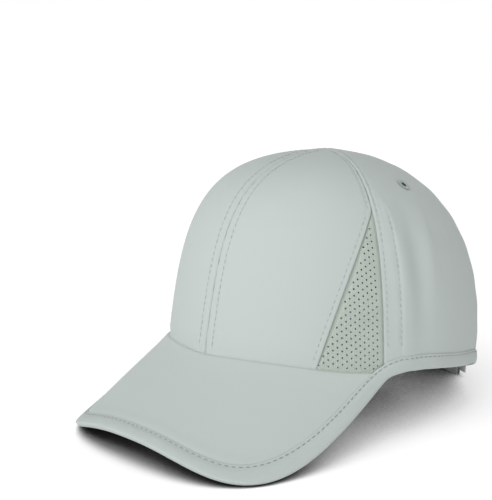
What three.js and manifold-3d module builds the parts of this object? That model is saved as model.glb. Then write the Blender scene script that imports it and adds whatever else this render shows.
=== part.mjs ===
// A ponytail baseball cap: cloth panels with mesh inserts, a padded peak, a teardrop opening and two tabs that
// overlap at the back. It rests on the lobes of its peak and on the foot of its outer tab. Lengths are
// millimetres, angles are degrees, +Z is up, and the wearer faces -Y with their left on +X.
//
// Places on the crown are given as an angle and a rise. The angle runs from the centre front towards the back
// and past it, on either side, and the rise runs from 0 at the hem to 1 at the top.
import * as THREE from "three";
import { mergeVertices } from "three/addons/utils/BufferGeometryUtils.js";
import Module from "manifold-3d";

// The head opening and the crown
const HEAD_FRONT = 97.9;
const HEAD_BACK = 98.8;
const HEAD_HALF_WIDTH = 85.5;
const HEAD_ROUNDNESS = 1.934;
const FRONT_LIFT = 44.6;
const CROWN_TOP = 146.6;
const APEX_HOLE = 0.6;

// The peak
const PEAK_REACH = 53.5;
const PEAK_HALF_WIDTH = 76.9;
const PEAK_WIDEST_AHEAD = 69.9;
const PEAK_END_ANGLE = 70;
const HEM_TURN = 6;
const PEAK_ARCH = 42.5;
const PEAK_ARCH_SPAN = 80;
const PEAK_ARCH_POWER = 2.47;
const PEAK_THICK = 2.2;
const HORN_LEAST_WIDTH = 6;
const HORN_DROP = 3;
const HORN_WIDTH = 10;
const HORN_LENGTH = 60;
const HORN_FULL_LENGTH = 20;

// Cloth, bands and the clearances between pieces
const CLOTH = 1.2;
const GAP = 0.3;
const FOLD_ROOM = 0.7;
const SWEATBAND_ROOM = 0.6;
const PEAK_ROOM = 0.5;
const BAND_WIDTH = 8;
const BAND_THICK = 0.9;
const SWEATBAND_HEIGHT = 42;
const SWEATBAND_THICK = 1.5;
const SWEATBAND_END_ANGLE = 150;

// Seams and the mesh inserts
const SIDE_SEAM_ANGLE = 59.3;
const INSERT_FOOT_ANGLE = 36.5;
const INSERT_RISE = 0.44;

// Soft folds
const FOLD_HALF_LENGTH = 34;
const FOLD_HALF_WIDTH = 6;
const FOLD_HEIGHT = 1.2;

// The back: a teardrop opening, and a tab on each side that reaches past the centre
const OPENING_HALF_WIDTH = 17.8;
const TAB_REACH = 38;
const TAB_FADE_START = 0.26;
const TAB_FADE_END = 0.45;
const TAB_SPLIT = 3.6;
const PATCH_ROOM = 0.6;
const TAB_FOOT_START_ANGLE = 158;
const TAB_FOOT_FLAT_ANGLE = 186;
const PATCH_START = -12;
const PATCH_END = 31;
const PATCH_BOTTOM = 15;
const PATCH_TOP = 25;

// Eyelets and the tag
const EYELET_ANGLE = 89;
const EYELET_RISE = 0.58;
const EYELET_RADIUS = 4;
const EYELET_HOLE = 1.5;
const EYELET_THICK = 0.8;
const TAG_WIDTH = 9;
const TAG_HEIGHT = 22;
const TAG_FOOT = 3.4;
const TAG_THICK = 1;
const TAG_PAST_END = 4.5;

// The hem's height behind the peak, as shares of the front lift
const HEM_HEIGHTS = [
  { angle: 84, height: 0.775 },
  { angle: 100, height: 0.685 },
  { angle: 115, height: 0.61 },
  { angle: 135, height: 0.39 },
  { angle: 155, height: 0.175 },
  { angle: 180, height: 0.09 },
];

// The crown's profile at stations round the head: reaches as shares of the hem's radius there, and rises as
// shares of the height from the hem to the top
const PROFILES = [
  { angle: 0, lowReach: 0.883, lowRise: 0.643, midReach: 0.8, midRise: 0.842, topReach: 0.439 },
  { angle: 45, lowReach: 0.934, lowRise: 0.627, midReach: 0.811, midRise: 0.901, topReach: 0.464 },
  { angle: 90, lowReach: 1.036, lowRise: 0.563, midReach: 0.816, midRise: 0.849, topReach: 0.424 },
  { angle: 135, lowReach: 1.071, lowRise: 0.484, midReach: 0.882, midRise: 0.83, topReach: 0.412 },
  { angle: 180, lowReach: 1.115, lowRise: 0.398, midReach: 0.866, midRise: 0.773, topReach: 0.387 },
];

// Where a back panel ends: past the centre back (a share of the tab's reach) up to the tip of the teardrop,
// and short of it (a share of the opening's half width) above the tip
const BACK_EDGE = [
  { rise: 0, tab: 1, opening: 0 },
  { rise: 0.05, tab: 1, opening: 0 },
  { rise: 0.1, tab: 1, opening: 0 },
  { rise: 0.12, tab: 0.82, opening: 0 },
  { rise: 0.14, tab: 0.63, opening: 0 },
  { rise: 0.165, tab: 0.4, opening: 0 },
  { rise: 0.19, tab: 0.18, opening: 0 },
  { rise: 0.22, tab: 0, opening: 0 },
  { rise: 0.255, tab: 0, opening: 0.28 },
  { rise: 0.3, tab: 0, opening: 0.58 },
  { rise: 0.35, tab: 0, opening: 0.82 },
  { rise: 0.4, tab: 0, opening: 0.96 },
  { rise: 0.45, tab: 0, opening: 1 },
  { rise: 0.5, tab: 0, opening: 0.95 },
  { rise: 0.55, tab: 0, opening: 0.84 },
  { rise: 0.6, tab: 0, opening: 0.68 },
  { rise: 0.635, tab: 0, opening: 0.53 },
  { rise: 0.66, tab: 0, opening: 0.36 },
  { rise: 0.672, tab: 0, opening: 0.23 },
  { rise: 0.678, tab: 0, opening: 0.12 },
  { rise: 0.68, tab: 0, opening: 0 },
];

// Soft folds of the back panels, as shares of a fold's half length, half width and height: side +1 is the
// wearer's left, and a tilt of 90 runs up the panel
const FOLDS = [
  { side: 1, angle: 69, rise: 0.24, tilt: 92, length: 1, width: 1, height: 1 },
  { side: 1, angle: 76, rise: 0.23, tilt: 88, length: 0.94, width: 1, height: -1.08 },
  { side: -1, angle: 69, rise: 0.25, tilt: 92, length: 1, width: 1, height: 0.92 },
  { side: -1, angle: 77, rise: 0.22, tilt: 88, length: 0.94, width: 1.17, height: -1 },
  { side: -1, angle: 160, rise: 0.3, tilt: -38, length: 0.59, width: 1, height: 1 },
  { side: -1, angle: 163, rise: 0.22, tilt: -30, length: 0.65, width: 1, height: -1 },
  { side: 1, angle: 158, rise: 0.24, tilt: -25, length: 0.7, width: 1.17, height: -0.75 },
];

// Grid steps
const FRONT_COLUMNS = 8;
const INSERT_COLUMNS = 5;
const BACK_COLUMNS = 17;
const CROWN_RISES = [0, 0.04, 0.09, 0.15, 0.21, 0.28, 0.34, 0.39, INSERT_RISE, 0.54, 0.62, 0.71, 0.8, 0.89, 0.95];
const INSERT_RISES = [0, 0.05, 0.1, 0.15, 0.205, 0.26, 0.315, 0.365, 0.4, 0.425];
const BAND_STEP = 6;
const PEAK_STEPS = 20;
const PEAK_ROWS = 5;

const LEFT = 1;
const RIGHT = -1;
const DEGREE = Math.PI / 180;
const SMALL = 1e-3;
const PROBE = 0.05;

const lerp = THREE.MathUtils.lerp;
const clamp = THREE.MathUtils.clamp;
const smoothstep = THREE.MathUtils.smoothstep;

// Monotone cubic curve through the values of a table's column
function smoothCurve(places, values) {
  const count = places.length;
  const steps = places.slice(1).map((place, i) => place - places[i]);
  const rates = steps.map((step, i) => (values[i + 1] - values[i]) / step);
  const slopes = places.map((_, i) => {
    if (i === 0) return rates[0];
    if (i === count - 1) return rates[count - 2];
    if (rates[i - 1] * rates[i] <= 0) return 0;
    const before = 2 * steps[i] + steps[i - 1];
    const after = steps[i] + 2 * steps[i - 1];
    return (before + after) / (before / rates[i - 1] + after / rates[i]);
  });
  return (place) => {
    let i = 0;
    while (i < count - 2 && place > places[i + 1]) i += 1;
    const s = clamp((place - places[i]) / steps[i], 0, 1);
    const rest = 1 - s;
    const ends = values[i] * rest * rest * (1 + 2 * s) + values[i + 1] * s * s * (3 - 2 * s);
    return ends + steps[i] * (slopes[i] * s * rest * rest - slopes[i + 1] * s * s * rest);
  };
}

// A column of a table of angles, carried on past the centre front and back as in a mirror
function roundCurve(rows, column) {
  const back = rows.slice(0, -1).reverse();
  const front = rows[0].angle === 0 ? rows.slice(1).reverse() : [];
  return smoothCurve(
    [...front.map((row) => -row.angle), ...rows.map((row) => row.angle), ...back.map((row) => 360 - row.angle)],
    [...front, ...rows, ...back].map((row) => row[column]),
  );
}

// The head opening in plan
function hemRadius(angle) {
  const side = Math.abs(Math.sin(angle * DEGREE)) / HEAD_HALF_WIDTH;
  const depth = Math.abs(Math.cos(angle * DEGREE));
  const length = Math.cos(angle * DEGREE) > 0 ? HEAD_FRONT : HEAD_BACK;
  return (side ** HEAD_ROUNDNESS + (depth / length) ** HEAD_ROUNDNESS) ** (-1 / HEAD_ROUNDNESS);
}

function onHem(angle) {
  const radius = hemRadius(angle);
  return new THREE.Vector2(radius * Math.sin(angle * DEGREE), -radius * Math.cos(angle * DEGREE));
}

// Half of the peak's outline in plan, from where it leaves the hem to the centre front
function peakOutline() {
  const start = onHem(PEAK_END_ANGLE);
  const along = onHem(PEAK_END_ANGLE - 1).sub(start).normalize();
  const widest = new THREE.Vector2(PEAK_HALF_WIDTH, -PEAK_WIDEST_AHEAD);
  const front = new THREE.Vector2(0, -HEAD_FRONT - PEAK_REACH);
  const cheek = widest.distanceTo(start);
  const lobe = front.distanceTo(widest);
  const outline = new THREE.CurvePath();
  outline.add(
    new THREE.CubicBezierCurve(
      start,
      start.clone().addScaledVector(along, 0.42 * cheek),
      widest.clone().add(new THREE.Vector2(0, 0.72 * cheek)),
      widest,
    ),
  );
  outline.add(
    new THREE.CubicBezierCurve(
      widest,
      widest.clone().add(new THREE.Vector2(0, -0.7 * lobe)),
      front.clone().add(new THREE.Vector2(0.39 * lobe, 0)),
      front,
    ),
  );
  return outline;
}
const outline = peakOutline();

// How far the peak's two ends hang below its arch, where they run back along the head
const hornEnd = onHem(PEAK_END_ANGLE);

function hornDrop(x, y) {
  const outward = smoothstep(Math.abs(x), hornEnd.x - HORN_WIDTH, hornEnd.x);
  const backward = smoothstep(y, hornEnd.y - HORN_LENGTH, hornEnd.y - HORN_FULL_LENGTH);
  return HORN_DROP * outward * backward;
}

// The peak's upper face: a slope down towards the front, arched from side to side. The slope is the one that
// lets the lobes touch the floor.
function faceHeight(slope, x, y) {
  const arch = PEAK_ARCH * (Math.abs(x) / PEAK_ARCH_SPAN) ** PEAK_ARCH_POWER;
  return FRONT_LIFT + slope * (y + HEAD_FRONT) - arch - hornDrop(x, y);
}

function onFace(slope, x, y, lift) {
  const height = (across, ahead) => faceHeight(slope, x + across * PROBE, y + ahead * PROBE);
  const acrossSlope = (height(1, 0) - height(-1, 0)) / (2 * PROBE);
  const aheadSlope = (height(0, 1) - height(0, -1)) / (2 * PROBE);
  const normal = new THREE.Vector3(-acrossSlope, -aheadSlope, 1).normalize();
  const point = new THREE.Vector3(x, y, faceHeight(slope, x, y)).addScaledVector(normal, lift);
  return { point, normal };
}

function slopeThatRests() {
  const rim = outline.getPoints(60);
  let [low, high] = [0, (FRONT_LIFT * 2) / PEAK_REACH];
  for (let i = 0; i < 40; i += 1) {
    const slope = (low + high) / 2;
    const lowest = Math.min(...rim.map((p) => onFace(slope, p.x, p.y, -PEAK_THICK).point.z));
    if (lowest > 0) low = slope;
    else high = slope;
  }
  return low;
}
const peakSlope = slopeThatRests();
const onPeak = (x, y, lift = 0) => onFace(peakSlope, x, y, lift);

function peakHeightAtHem(angle) {
  const place = onHem(angle);
  return faceHeight(peakSlope, place.x, place.y);
}

// The hem lies on the peak in front, follows its own heights behind,
const behindPeak = roundCurve(
  [
    { angle: PEAK_END_ANGLE - 30, height: peakHeightAtHem(PEAK_END_ANGLE - 30) / FRONT_LIFT },
    { angle: PEAK_END_ANGLE, height: peakHeightAtHem(PEAK_END_ANGLE) / FRONT_LIFT },
    ...HEM_HEIGHTS,
  ],
  "height",
);

// and turns smoothly from the one into the other
function hemHeight(angle) {
  const height = (at) => (at < PEAK_END_ANGLE ? peakHeightAtHem(at) : FRONT_LIFT * behindPeak(at));
  const spread = HEM_TURN * smoothstep(angle, PEAK_END_ANGLE - 2 * HEM_TURN, PEAK_END_ANGLE - HEM_TURN / 2);
  const shares = [-1, -0.5, 0, 0.5, 1];
  return shares.reduce((sum, share) => sum + height(angle + share * spread), 0) / shares.length;
}

const profile = Object.fromEntries(
  ["lowReach", "lowRise", "midReach", "midRise", "topReach"].map((name) => [name, roundCurve(PROFILES, name)]),
);

// The two halves of the crown. The right one's tab lies outside the left one's, and its foot on the floor.
const tabEndAngle = 180 + Math.asin(TAB_REACH / HEAD_BACK) / DEGREE;
const tabPart = (angle) => smoothstep(angle, 360 - tabEndAngle, tabEndAngle);
const HALVES = {
  left: {
    side: LEFT,
    tabLift: (angle) => -TAB_SPLIT * tabPart(angle),
    foot: () => 1,
  },
  right: {
    side: RIGHT,
    tabLift: (angle) => TAB_SPLIT * tabPart(angle),
    foot: (angle) => 1 - smoothstep(angle, TAB_FOOT_START_ANGLE, TAB_FOOT_FLAT_ANGLE),
  },
};

// A point of the crown's smooth outer skin
function bareSkin(half, angle, rise) {
  const radius = hemRadius(angle);
  const hem = hemHeight(angle) * half.foot(angle);
  const height = CROWN_TOP - hem;
  const fall = 1 - rise;
  const low = 4 * fall ** 3 * rise;
  const mid = 6 * fall ** 2 * rise ** 2;
  const top = 4 * fall * rise ** 3;
  const reach = fall ** 4 + low * profile.lowReach(angle) + mid * profile.midReach(angle) + top * profile.topReach(angle);
  const share = low * profile.lowRise(angle) + mid * profile.midRise(angle) + top + rise ** 4;
  const turned = angle * DEGREE;
  return new THREE.Vector3(
    half.side * radius * reach * Math.sin(turned),
    -radius * reach * Math.cos(turned),
    hem + height * share,
  );
}

// The skin's two directions, its outward normal, and how far a step of each measures
function frameAt(half, angle, rise) {
  const step = 0.01;
  const up = bareSkin(half, angle, rise + step).sub(bareSkin(half, angle, rise - step)).divideScalar(2 * step);
  const round = bareSkin(half, angle + 1, rise).sub(bareSkin(half, angle - 1, rise)).divideScalar(2);
  const normal = new THREE.Vector3().crossVectors(round, up).multiplyScalar(half.side).normalize();
  return { up, round, normal };
}

// How far the folds lift the skin
function foldLift(half, angle, rise) {
  let lift = 0;
  for (const fold of FOLDS.filter((row) => row.side === half.side)) {
    const { up, round } = frameAt(half, fold.angle, fold.rise);
    const across = (angle - fold.angle) * round.length();
    const upward = (rise - fold.rise) * up.length();
    const along = across * Math.cos(fold.tilt * DEGREE) + upward * Math.sin(fold.tilt * DEGREE);
    const beside = upward * Math.cos(fold.tilt * DEGREE) - across * Math.sin(fold.tilt * DEGREE);
    const lengthwise = along / (fold.length * FOLD_HALF_LENGTH);
    const widthwise = beside / (fold.width * FOLD_HALF_WIDTH);
    lift += FOLD_HEIGHT * fold.height * Math.exp(-(lengthwise ** 2) - widthwise ** 2);
  }
  return lift;
}

// A point on the crown, so far out from its skin
function skin(half, angle, rise, out = 0) {
  const { normal } = frameAt(half, angle, clamp(rise, 0.01, 0.98));
  const fade = 1 - smoothstep(rise, TAB_FADE_START, TAB_FADE_END);
  const lift = half.tabLift(angle) * fade + foldLift(half, angle, rise) + out;
  return bareSkin(half, angle, rise).addScaledVector(normal, lift);
}

const topRise = 1 - APEX_HOLE / (4 * HEAD_FRONT * PROFILES[0].topReach);

// Steps of angle and rise for a distance along the skin
function angleFor(half, angle, rise, distance) {
  return distance / frameAt(half, angle, clamp(rise, 0.01, topRise)).round.length();
}

function riseFor(half, angle, distance, rise = 0.01) {
  return distance / frameAt(half, angle, rise).up.length();
}

// The nearest place on the skin so far away in a given direction
function walk(half, angle, rise, direction, distance) {
  const { up, round } = frameAt(half, angle, rise);
  const [uu, rr, ur] = [up.dot(up), round.dot(round), up.dot(round)];
  const [du, dr] = [direction.dot(up), direction.dot(round)];
  const area = uu * rr - ur * ur;
  return {
    angle: angle + (distance * (dr * uu - du * ur)) / area,
    rise: rise + (distance * (du * rr - dr * ur)) / area,
  };
}

// Closed bodies
function makeGeometry(points, faces) {
  const geometry = new THREE.BufferGeometry();
  const position = new THREE.Float32BufferAttribute(points.flatMap((p) => p.toArray()), 3);
  geometry.setAttribute("position", position);
  geometry.setIndex(faces.flat());
  return facingOut(geometry);
}

// A mirrored piece comes out inside out, so its faces are turned
function facingOut(geometry) {
  const { array } = geometry.getAttribute("position");
  const index = geometry.index.array;
  const corner = (i) => new THREE.Vector3().fromArray(array, 3 * index[i]);
  let volume = 0;
  for (let i = 0; i < index.length; i += 3) {
    volume += corner(i).dot(corner(i + 1).cross(corner(i + 2)));
  }
  if (volume < 0) {
    for (let i = 0; i < index.length; i += 3) {
      [index[i + 1], index[i + 2]] = [index[i + 2], index[i + 1]];
    }
  }
  return geometry;
}

// A wall between two skins, each a grid of points in rows
function wall(outer, inner) {
  const rows = outer.length;
  const columns = outer[0].length;
  const points = [...outer.flat(), ...inner.flat()];
  const faces = [];
  const at = (layer, row, column) => (layer * rows + row) * columns + column;
  const quad = (a, b, c, d) => faces.push([a, b, c], [a, c, d]);
  for (let i = 0; i < rows - 1; i += 1) {
    for (let j = 0; j < columns - 1; j += 1) {
      quad(at(0, i, j), at(0, i, j + 1), at(0, i + 1, j + 1), at(0, i + 1, j));
      quad(at(1, i, j), at(1, i + 1, j), at(1, i + 1, j + 1), at(1, i, j + 1));
    }
    quad(at(0, i, 0), at(0, i + 1, 0), at(1, i + 1, 0), at(1, i, 0));
    const last = columns - 1;
    quad(at(0, i, last), at(1, i, last), at(1, i + 1, last), at(0, i + 1, last));
  }
  for (let j = 0; j < columns - 1; j += 1) {
    quad(at(0, 0, j), at(1, 0, j), at(1, 0, j + 1), at(0, 0, j + 1));
    const top = rows - 1;
    quad(at(0, top, j), at(0, top, j + 1), at(1, top, j + 1), at(1, top, j));
  }
  return makeGeometry(points, faces);
}

// A band with a folded edge: a station is its outline from the fold's outer corner over the band and back
const BAND_CAP = [
  [0, 1, 4],
  [0, 4, 5],
  [1, 2, 3],
  [1, 3, 4],
  [0, 5, 6],
  [0, 6, 7],
];

function band(stations) {
  const corners = stations[0].length;
  const points = stations.flat();
  const faces = BAND_CAP.map(([a, b, c]) => [a, c, b]);
  for (let i = 0; i < stations.length - 1; i += 1) {
    for (let j = 0; j < corners; j += 1) {
      const next = (j + 1) % corners;
      const [a, b] = [i * corners + j, i * corners + next];
      faces.push([a, b, b + corners], [a, b + corners, a + corners]);
    }
  }
  const end = (stations.length - 1) * corners;
  faces.push(...BAND_CAP.map(([a, b, c]) => [end + a, end + b, end + c]));
  return makeGeometry(points, faces);
}

// Eight corners of a band from the places under its edge, its fold, its middle and its far edge
function bandStation({ edge, fold, middle, far, depth }) {
  const out = (place, lift) => place.point.clone().addScaledVector(place.normal, lift);
  return [
    out(edge, GAP + BAND_THICK),
    out(middle, GAP + BAND_THICK),
    out(far, GAP + BAND_THICK),
    out(far, GAP),
    out(middle, GAP),
    out(fold, GAP),
    out(fold, -depth),
    out(edge, -depth),
  ];
}

function skinPlace(half, angle, rise) {
  return { point: skin(half, angle, rise), normal: frameAt(half, angle, clamp(rise, 0.01, 0.98)).normal };
}

// Where the peak is narrow, its edge band runs up on to the crown. For each station of the peak's edge this
// gives the edge, the way in towards the crown, and the width of the peak there.
function peakEdgeStation(share) {
  const place = outline.getPointAt(share);
  const along = outline.getTangentAt(share);
  const inward = new THREE.Vector2(-along.y, along.x);
  if (inward.dot(place) > 0) inward.negate();
  let [near, beyond] = [0, PEAK_REACH + HEAD_FRONT / 2];
  for (let i = 0; i < 40; i += 1) {
    const reach = (near + beyond) / 2;
    const tried = place.clone().addScaledVector(inward, reach);
    const angle = Math.atan2(tried.x, -tried.y) / DEGREE;
    if (tried.length() > hemRadius(angle)) near = reach;
    else beyond = reach;
  }
  const corner = place.clone().addScaledVector(inward, near);
  const rim = onPeak(place.x, place.y);
  const foot = onPeak(corner.x, corner.y);
  return {
    place,
    inward,
    plan: near,
    width: rim.point.distanceTo(foot.point),
    angle: Math.atan2(corner.x, -corner.y) / DEGREE,
  };
}

function overPeak(station, distance) {
  if (distance > station.width) {
    const half = HALVES.left;
    return skinPlace(half, station.angle, riseFor(half, station.angle, distance - station.width));
  }
  const reach = (station.plan * distance) / Math.max(station.width, SMALL);
  const place = station.place.clone().addScaledVector(station.inward, reach);
  const onFace = onPeak(place.x, place.y);
  const crown = frameAt(HALVES.left, station.angle, 0.01).normal;
  const blend = smoothstep(station.width - distance, 0, BAND_WIDTH / 2);
  return { point: onFace.point, normal: crown.lerp(onFace.normal, blend).normalize() };
}

function peakBandStation(station) {
  const middle = clamp(station.width, BAND_WIDTH / 4, BAND_WIDTH / 2);
  const thick = lerp(CLOTH, PEAK_THICK, smoothstep(station.width, 0, BAND_WIDTH / 2));
  return bandStation({
    edge: overPeak(station, 0),
    fold: overPeak(station, BAND_THICK),
    middle: overPeak(station, middle),
    far: overPeak(station, BAND_WIDTH),
    depth: thick,
  });
}

// How far the crown's panels reach down: behind the peak's inner edge in front, and short of the hem's fold
// behind the peak
const edgeStations = Array.from({ length: 60 }, (_, i) => peakEdgeStation(i / 59));
const narrow = (width) => edgeStations.find((station) => station.width > width).angle;
const hornAngle = narrow(HORN_LEAST_WIDTH);
const freeAngle = narrow(BAND_THICK + 2 * GAP);

function footDistance(angle) {
  return lerp(-PEAK_THICK, BAND_THICK + FOLD_ROOM, smoothstep(angle, hornAngle, freeAngle));
}

function panelRise(half, angle, rise) {
  return rise + riseFor(half, angle, footDistance(angle)) * (1 - rise) ** 4;
}

// A crown panel between two edges, each an angle for each rise
function panel(half, rises, columns, from, to) {
  const grid = (out) =>
    rises.map((rise) => {
      const start = from(rise) + angleFor(half, from(rise), rise, GAP / 2);
      const end = to(rise) - angleFor(half, to(rise), rise, GAP / 2);
      return Array.from({ length: columns + 1 }, (_, j) => {
        const angle = lerp(start, end, j / columns);
        return skin(half, angle, panelRise(half, angle, rise), out);
      });
    });
  return wall(grid(0), grid(-CLOTH));
}

const crownRises = [...CROWN_RISES, topRise];
const insertEdge = (rise) => lerp(INSERT_FOOT_ANGLE, SIDE_SEAM_ANGLE, Math.min(rise / INSERT_RISE, 1));
const sideSeam = () => SIDE_SEAM_ANGLE;

// The free edge of a back panel, so far in from the edge of its binding
const backEdgeRises = BACK_EDGE.map((row) => row.rise);
const backEdge = smoothCurve(
  backEdgeRises,
  BACK_EDGE.map((row) => TAB_REACH * row.tab - OPENING_HALF_WIDTH * row.opening),
);
const openingTopRise = backEdgeRises[backEdgeRises.length - 1];
const tabTopRise = BACK_EDGE[2].rise;

function backEdgeAngle(rise) {
  const radius = Math.abs(bareSkin(HALVES.left, 180, rise).y);
  return 180 + Math.asin(backEdge(rise) / radius) / DEGREE;
}

// Places along the free edge from the tab's corner to the top of the teardrop, with the way in to the cloth
function freeEdge(half, step) {
  const places = [];
  const fine = 0.002;
  let walked = step;
  let last = null;
  for (let rise = tabTopRise + fine; rise < openingTopRise; rise += fine) {
    const angle = backEdgeAngle(rise);
    const here = skin(half, angle, rise);
    if (last) walked += here.distanceTo(last);
    last = here;
    if (walked < step) continue;
    walked = 0;
    const ahead = Math.min(rise + fine / 2, openingTopRise);
    const along = skin(half, backEdgeAngle(ahead), ahead).sub(skin(half, backEdgeAngle(rise - fine), rise - fine));
    const { normal, round } = frameAt(half, angle, rise);
    const inward = new THREE.Vector3().crossVectors(normal, along).normalize();
    if (inward.dot(round) > 0) inward.negate();
    places.push({ angle, rise, inward });
  }
  return places;
}

// The edge of a back panel's cloth, inside the fold of its bindings
const clothInset = BAND_THICK + FOLD_ROOM;
const insetEdge = freeEdge(HALVES.left, 1).map(({ angle, rise, inward }) =>
  walk(HALVES.left, angle, rise, inward, clothInset),
);

function clothEdgeAngle(rise) {
  const tabEdge = tabEndAngle - angleFor(HALVES.left, 180, rise, clothInset);
  const place = insetEdge.findIndex((edge) => edge.rise > rise);
  if (place === 0) return Math.min(tabEdge, insetEdge[0].angle);
  if (place < 0) return 180;
  const [before, after] = [insetEdge[place - 1], insetEdge[place]];
  const share = (rise - before.rise) / (after.rise - before.rise);
  return Math.min(tabEdge, lerp(before.angle, after.angle, share));
}

function bindingStation(half, { angle, rise, inward }, stretch = 1) {
  const place = (distance) => {
    const found = walk(half, angle, rise, inward, distance * stretch);
    return skinPlace(half, found.angle, found.rise);
  };
  return bandStation({
    edge: place(0),
    fold: place(BAND_THICK),
    middle: place(BAND_WIDTH / 2),
    far: place(BAND_WIDTH),
    depth: CLOTH,
  });
}

// The binding of the opening: up the end of the outer tab, along its upper edge, round the teardrop and down
// to the end of the inner tab
function openingBinding() {
  const { left, right } = HALVES;
  const foot = riseFor(right, tabEndAngle, BAND_WIDTH + 2 * GAP);
  const cloth = frameAt(right, tabEndAngle, tabTopRise);
  const sideways = cloth.round.clone().normalize().negate();
  const corner = sideways.clone().addScaledVector(cloth.up.clone().normalize(), -1).normalize();
  const end = [
    bindingStation(right, { angle: tabEndAngle, rise: foot, inward: sideways }),
    bindingStation(right, { angle: tabEndAngle, rise: tabTopRise, inward: corner }, Math.SQRT2),
  ];
  const top = { angle: 180, rise: openingTopRise, inward: frameAt(left, 180, openingTopRise).up.clone().normalize() };
  const outer = freeEdge(right, BAND_STEP * 0.75).slice(1).map((place) => bindingStation(right, place));
  const inner = freeEdge(left, BAND_STEP * 0.75).map((place) => bindingStation(left, place));
  return band([...end, ...outer, bindingStation(left, top), ...inner.reverse()]);
}

// The band of the hem and of the peak's edge, in one run from the outer tab's end to the inner tab's
function hemStation(half, angle) {
  const place = (distance) => skinPlace(half, angle, riseFor(half, angle, distance));
  const station = bandStation({
    edge: place(0),
    fold: place(BAND_THICK),
    middle: place(BAND_WIDTH / 2),
    far: place(BAND_WIDTH),
    depth: CLOTH,
  });
  const onFloor = half.foot(angle) < SMALL;
  for (const corner of [station[0], station[station.length - 1]]) {
    corner.z = onFloor ? 0 : Math.max(corner.z, 0);
  }
  return station;
}

function edgeBinding() {
  const behind = tabEndAngle - PEAK_END_ANGLE;
  const hemSteps = Math.round((behind * DEGREE * HEAD_BACK) / BAND_STEP);
  const hem = (half) =>
    Array.from({ length: hemSteps }, (_, i) => hemStation(half, tabEndAngle - (behind * i) / hemSteps));
  const peakSteps = Math.round(outline.getLength() / BAND_STEP);
  const side = Array.from({ length: peakSteps + 1 }, (_, i) => peakBandStation(peakEdgeStation(i / peakSteps)));
  const mirrored = side.map((station) => station.map((point) => point.clone().setX(-point.x)));
  return band([...hem(HALVES.right), ...mirrored, ...side.slice(0, -1).reverse(), ...hem(HALVES.left).reverse()]);
}

// The padded peak, between the crown's skin and the fold of its edge band
function peakGeometry() {
  const endShare = edgeStations.findIndex((station) => station.width > HORN_LEAST_WIDTH) / (edgeStations.length - 1);
  const top = [];
  const bottom = [];
  for (let i = -PEAK_STEPS; i <= PEAK_STEPS; i += 1) {
    const share = Math.abs(i) / PEAK_STEPS;
    const mirror = i < 0 ? -1 : 1;
    const angle = hornAngle * share;
    const station = peakEdgeStation(lerp(1, endShare, share));
    const rim = overPeak(station, clothInset);
    const wallTop = skin(HALVES.left, angle, 0, PEAK_ROOM);
    const wallFoot = skin(HALVES.left, angle, -riseFor(HALVES.left, angle, PEAK_THICK), PEAK_ROOM);
    const wallDown = wallFoot.clone().sub(wallTop);
    const column = Array.from({ length: PEAK_ROWS + 1 }, (_, j) => {
      const out = j / PEAK_ROWS;
      const x = lerp(wallTop.x, rim.point.x, out);
      const y = lerp(wallTop.y, rim.point.y, out);
      const face = onPeak(x, y);
      const normal = j === PEAK_ROWS ? rim.normal : face.normal;
      const turned = smoothstep(Math.hypot(x - wallTop.x, y - wallTop.y), 0, PEAK_THICK);
      const down = wallDown.clone().lerp(normal.clone().multiplyScalar(-PEAK_THICK), turned);
      return { upper: face.point, lower: face.point.clone().add(down) };
    });
    const placed = (point) => point.clone().setX(mirror * point.x);
    top.push(column.map(({ upper }) => placed(upper)));
    bottom.push(column.map(({ lower }) => placed(lower)));
  }
  return wall(top, bottom);
}

// The sweatband, inside the hem from one back panel round the front to the other
function sweatbandGeometry() {
  const columns = 40;
  const heights = [1, SWEATBAND_HEIGHT / 2, SWEATBAND_HEIGHT];
  const grid = (out) =>
    heights.map((height) =>
      Array.from({ length: columns + 1 }, (_, j) => {
        const turned = lerp(-SWEATBAND_END_ANGLE, SWEATBAND_END_ANGLE, j / columns);
        const half = turned < 0 ? HALVES.right : HALVES.left;
        const angle = Math.abs(turned);
        return skin(half, angle, riseFor(half, angle, height), out);
      }),
    );
  const outside = -CLOTH - SWEATBAND_ROOM;
  return wall(grid(outside), grid(outside - SWEATBAND_THICK));
}

// A plate that follows the outer tab: from and to are distances past the centre back, bottom and top heights
function tabPlate({ from, to, bottom, top, out, thick, columns, rows }) {
  const grid = (lift) =>
    Array.from({ length: rows + 1 }, (_, i) =>
      Array.from({ length: columns + 1 }, (_, j) => {
        const past = lerp(from, to, j / columns);
        const angle = 180 + Math.asin(past / HEAD_BACK) / DEGREE;
        const rise = riseFor(HALVES.right, angle, lerp(bottom, top, i / rows));
        return skin(HALVES.right, angle, rise, lift);
      }),
    );
  return wall(grid(out + thick), grid(out));
}

const closurePatch = () =>
  tabPlate({
    from: PATCH_START,
    to: PATCH_END,
    bottom: PATCH_BOTTOM,
    top: PATCH_TOP,
    out: PATCH_ROOM - TAB_SPLIT,
    thick: TAB_SPLIT - CLOTH - 2 * PATCH_ROOM,
    columns: 6,
    rows: 1,
  });

const sideTag = () =>
  tabPlate({
    from: TAB_REACH + TAG_PAST_END - TAG_WIDTH,
    to: TAB_REACH + TAG_PAST_END,
    bottom: TAG_FOOT,
    top: TAG_FOOT + TAG_HEIGHT,
    out: 2 * GAP + BAND_THICK,
    thick: TAG_THICK,
    columns: 2,
    rows: 3,
  });

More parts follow.
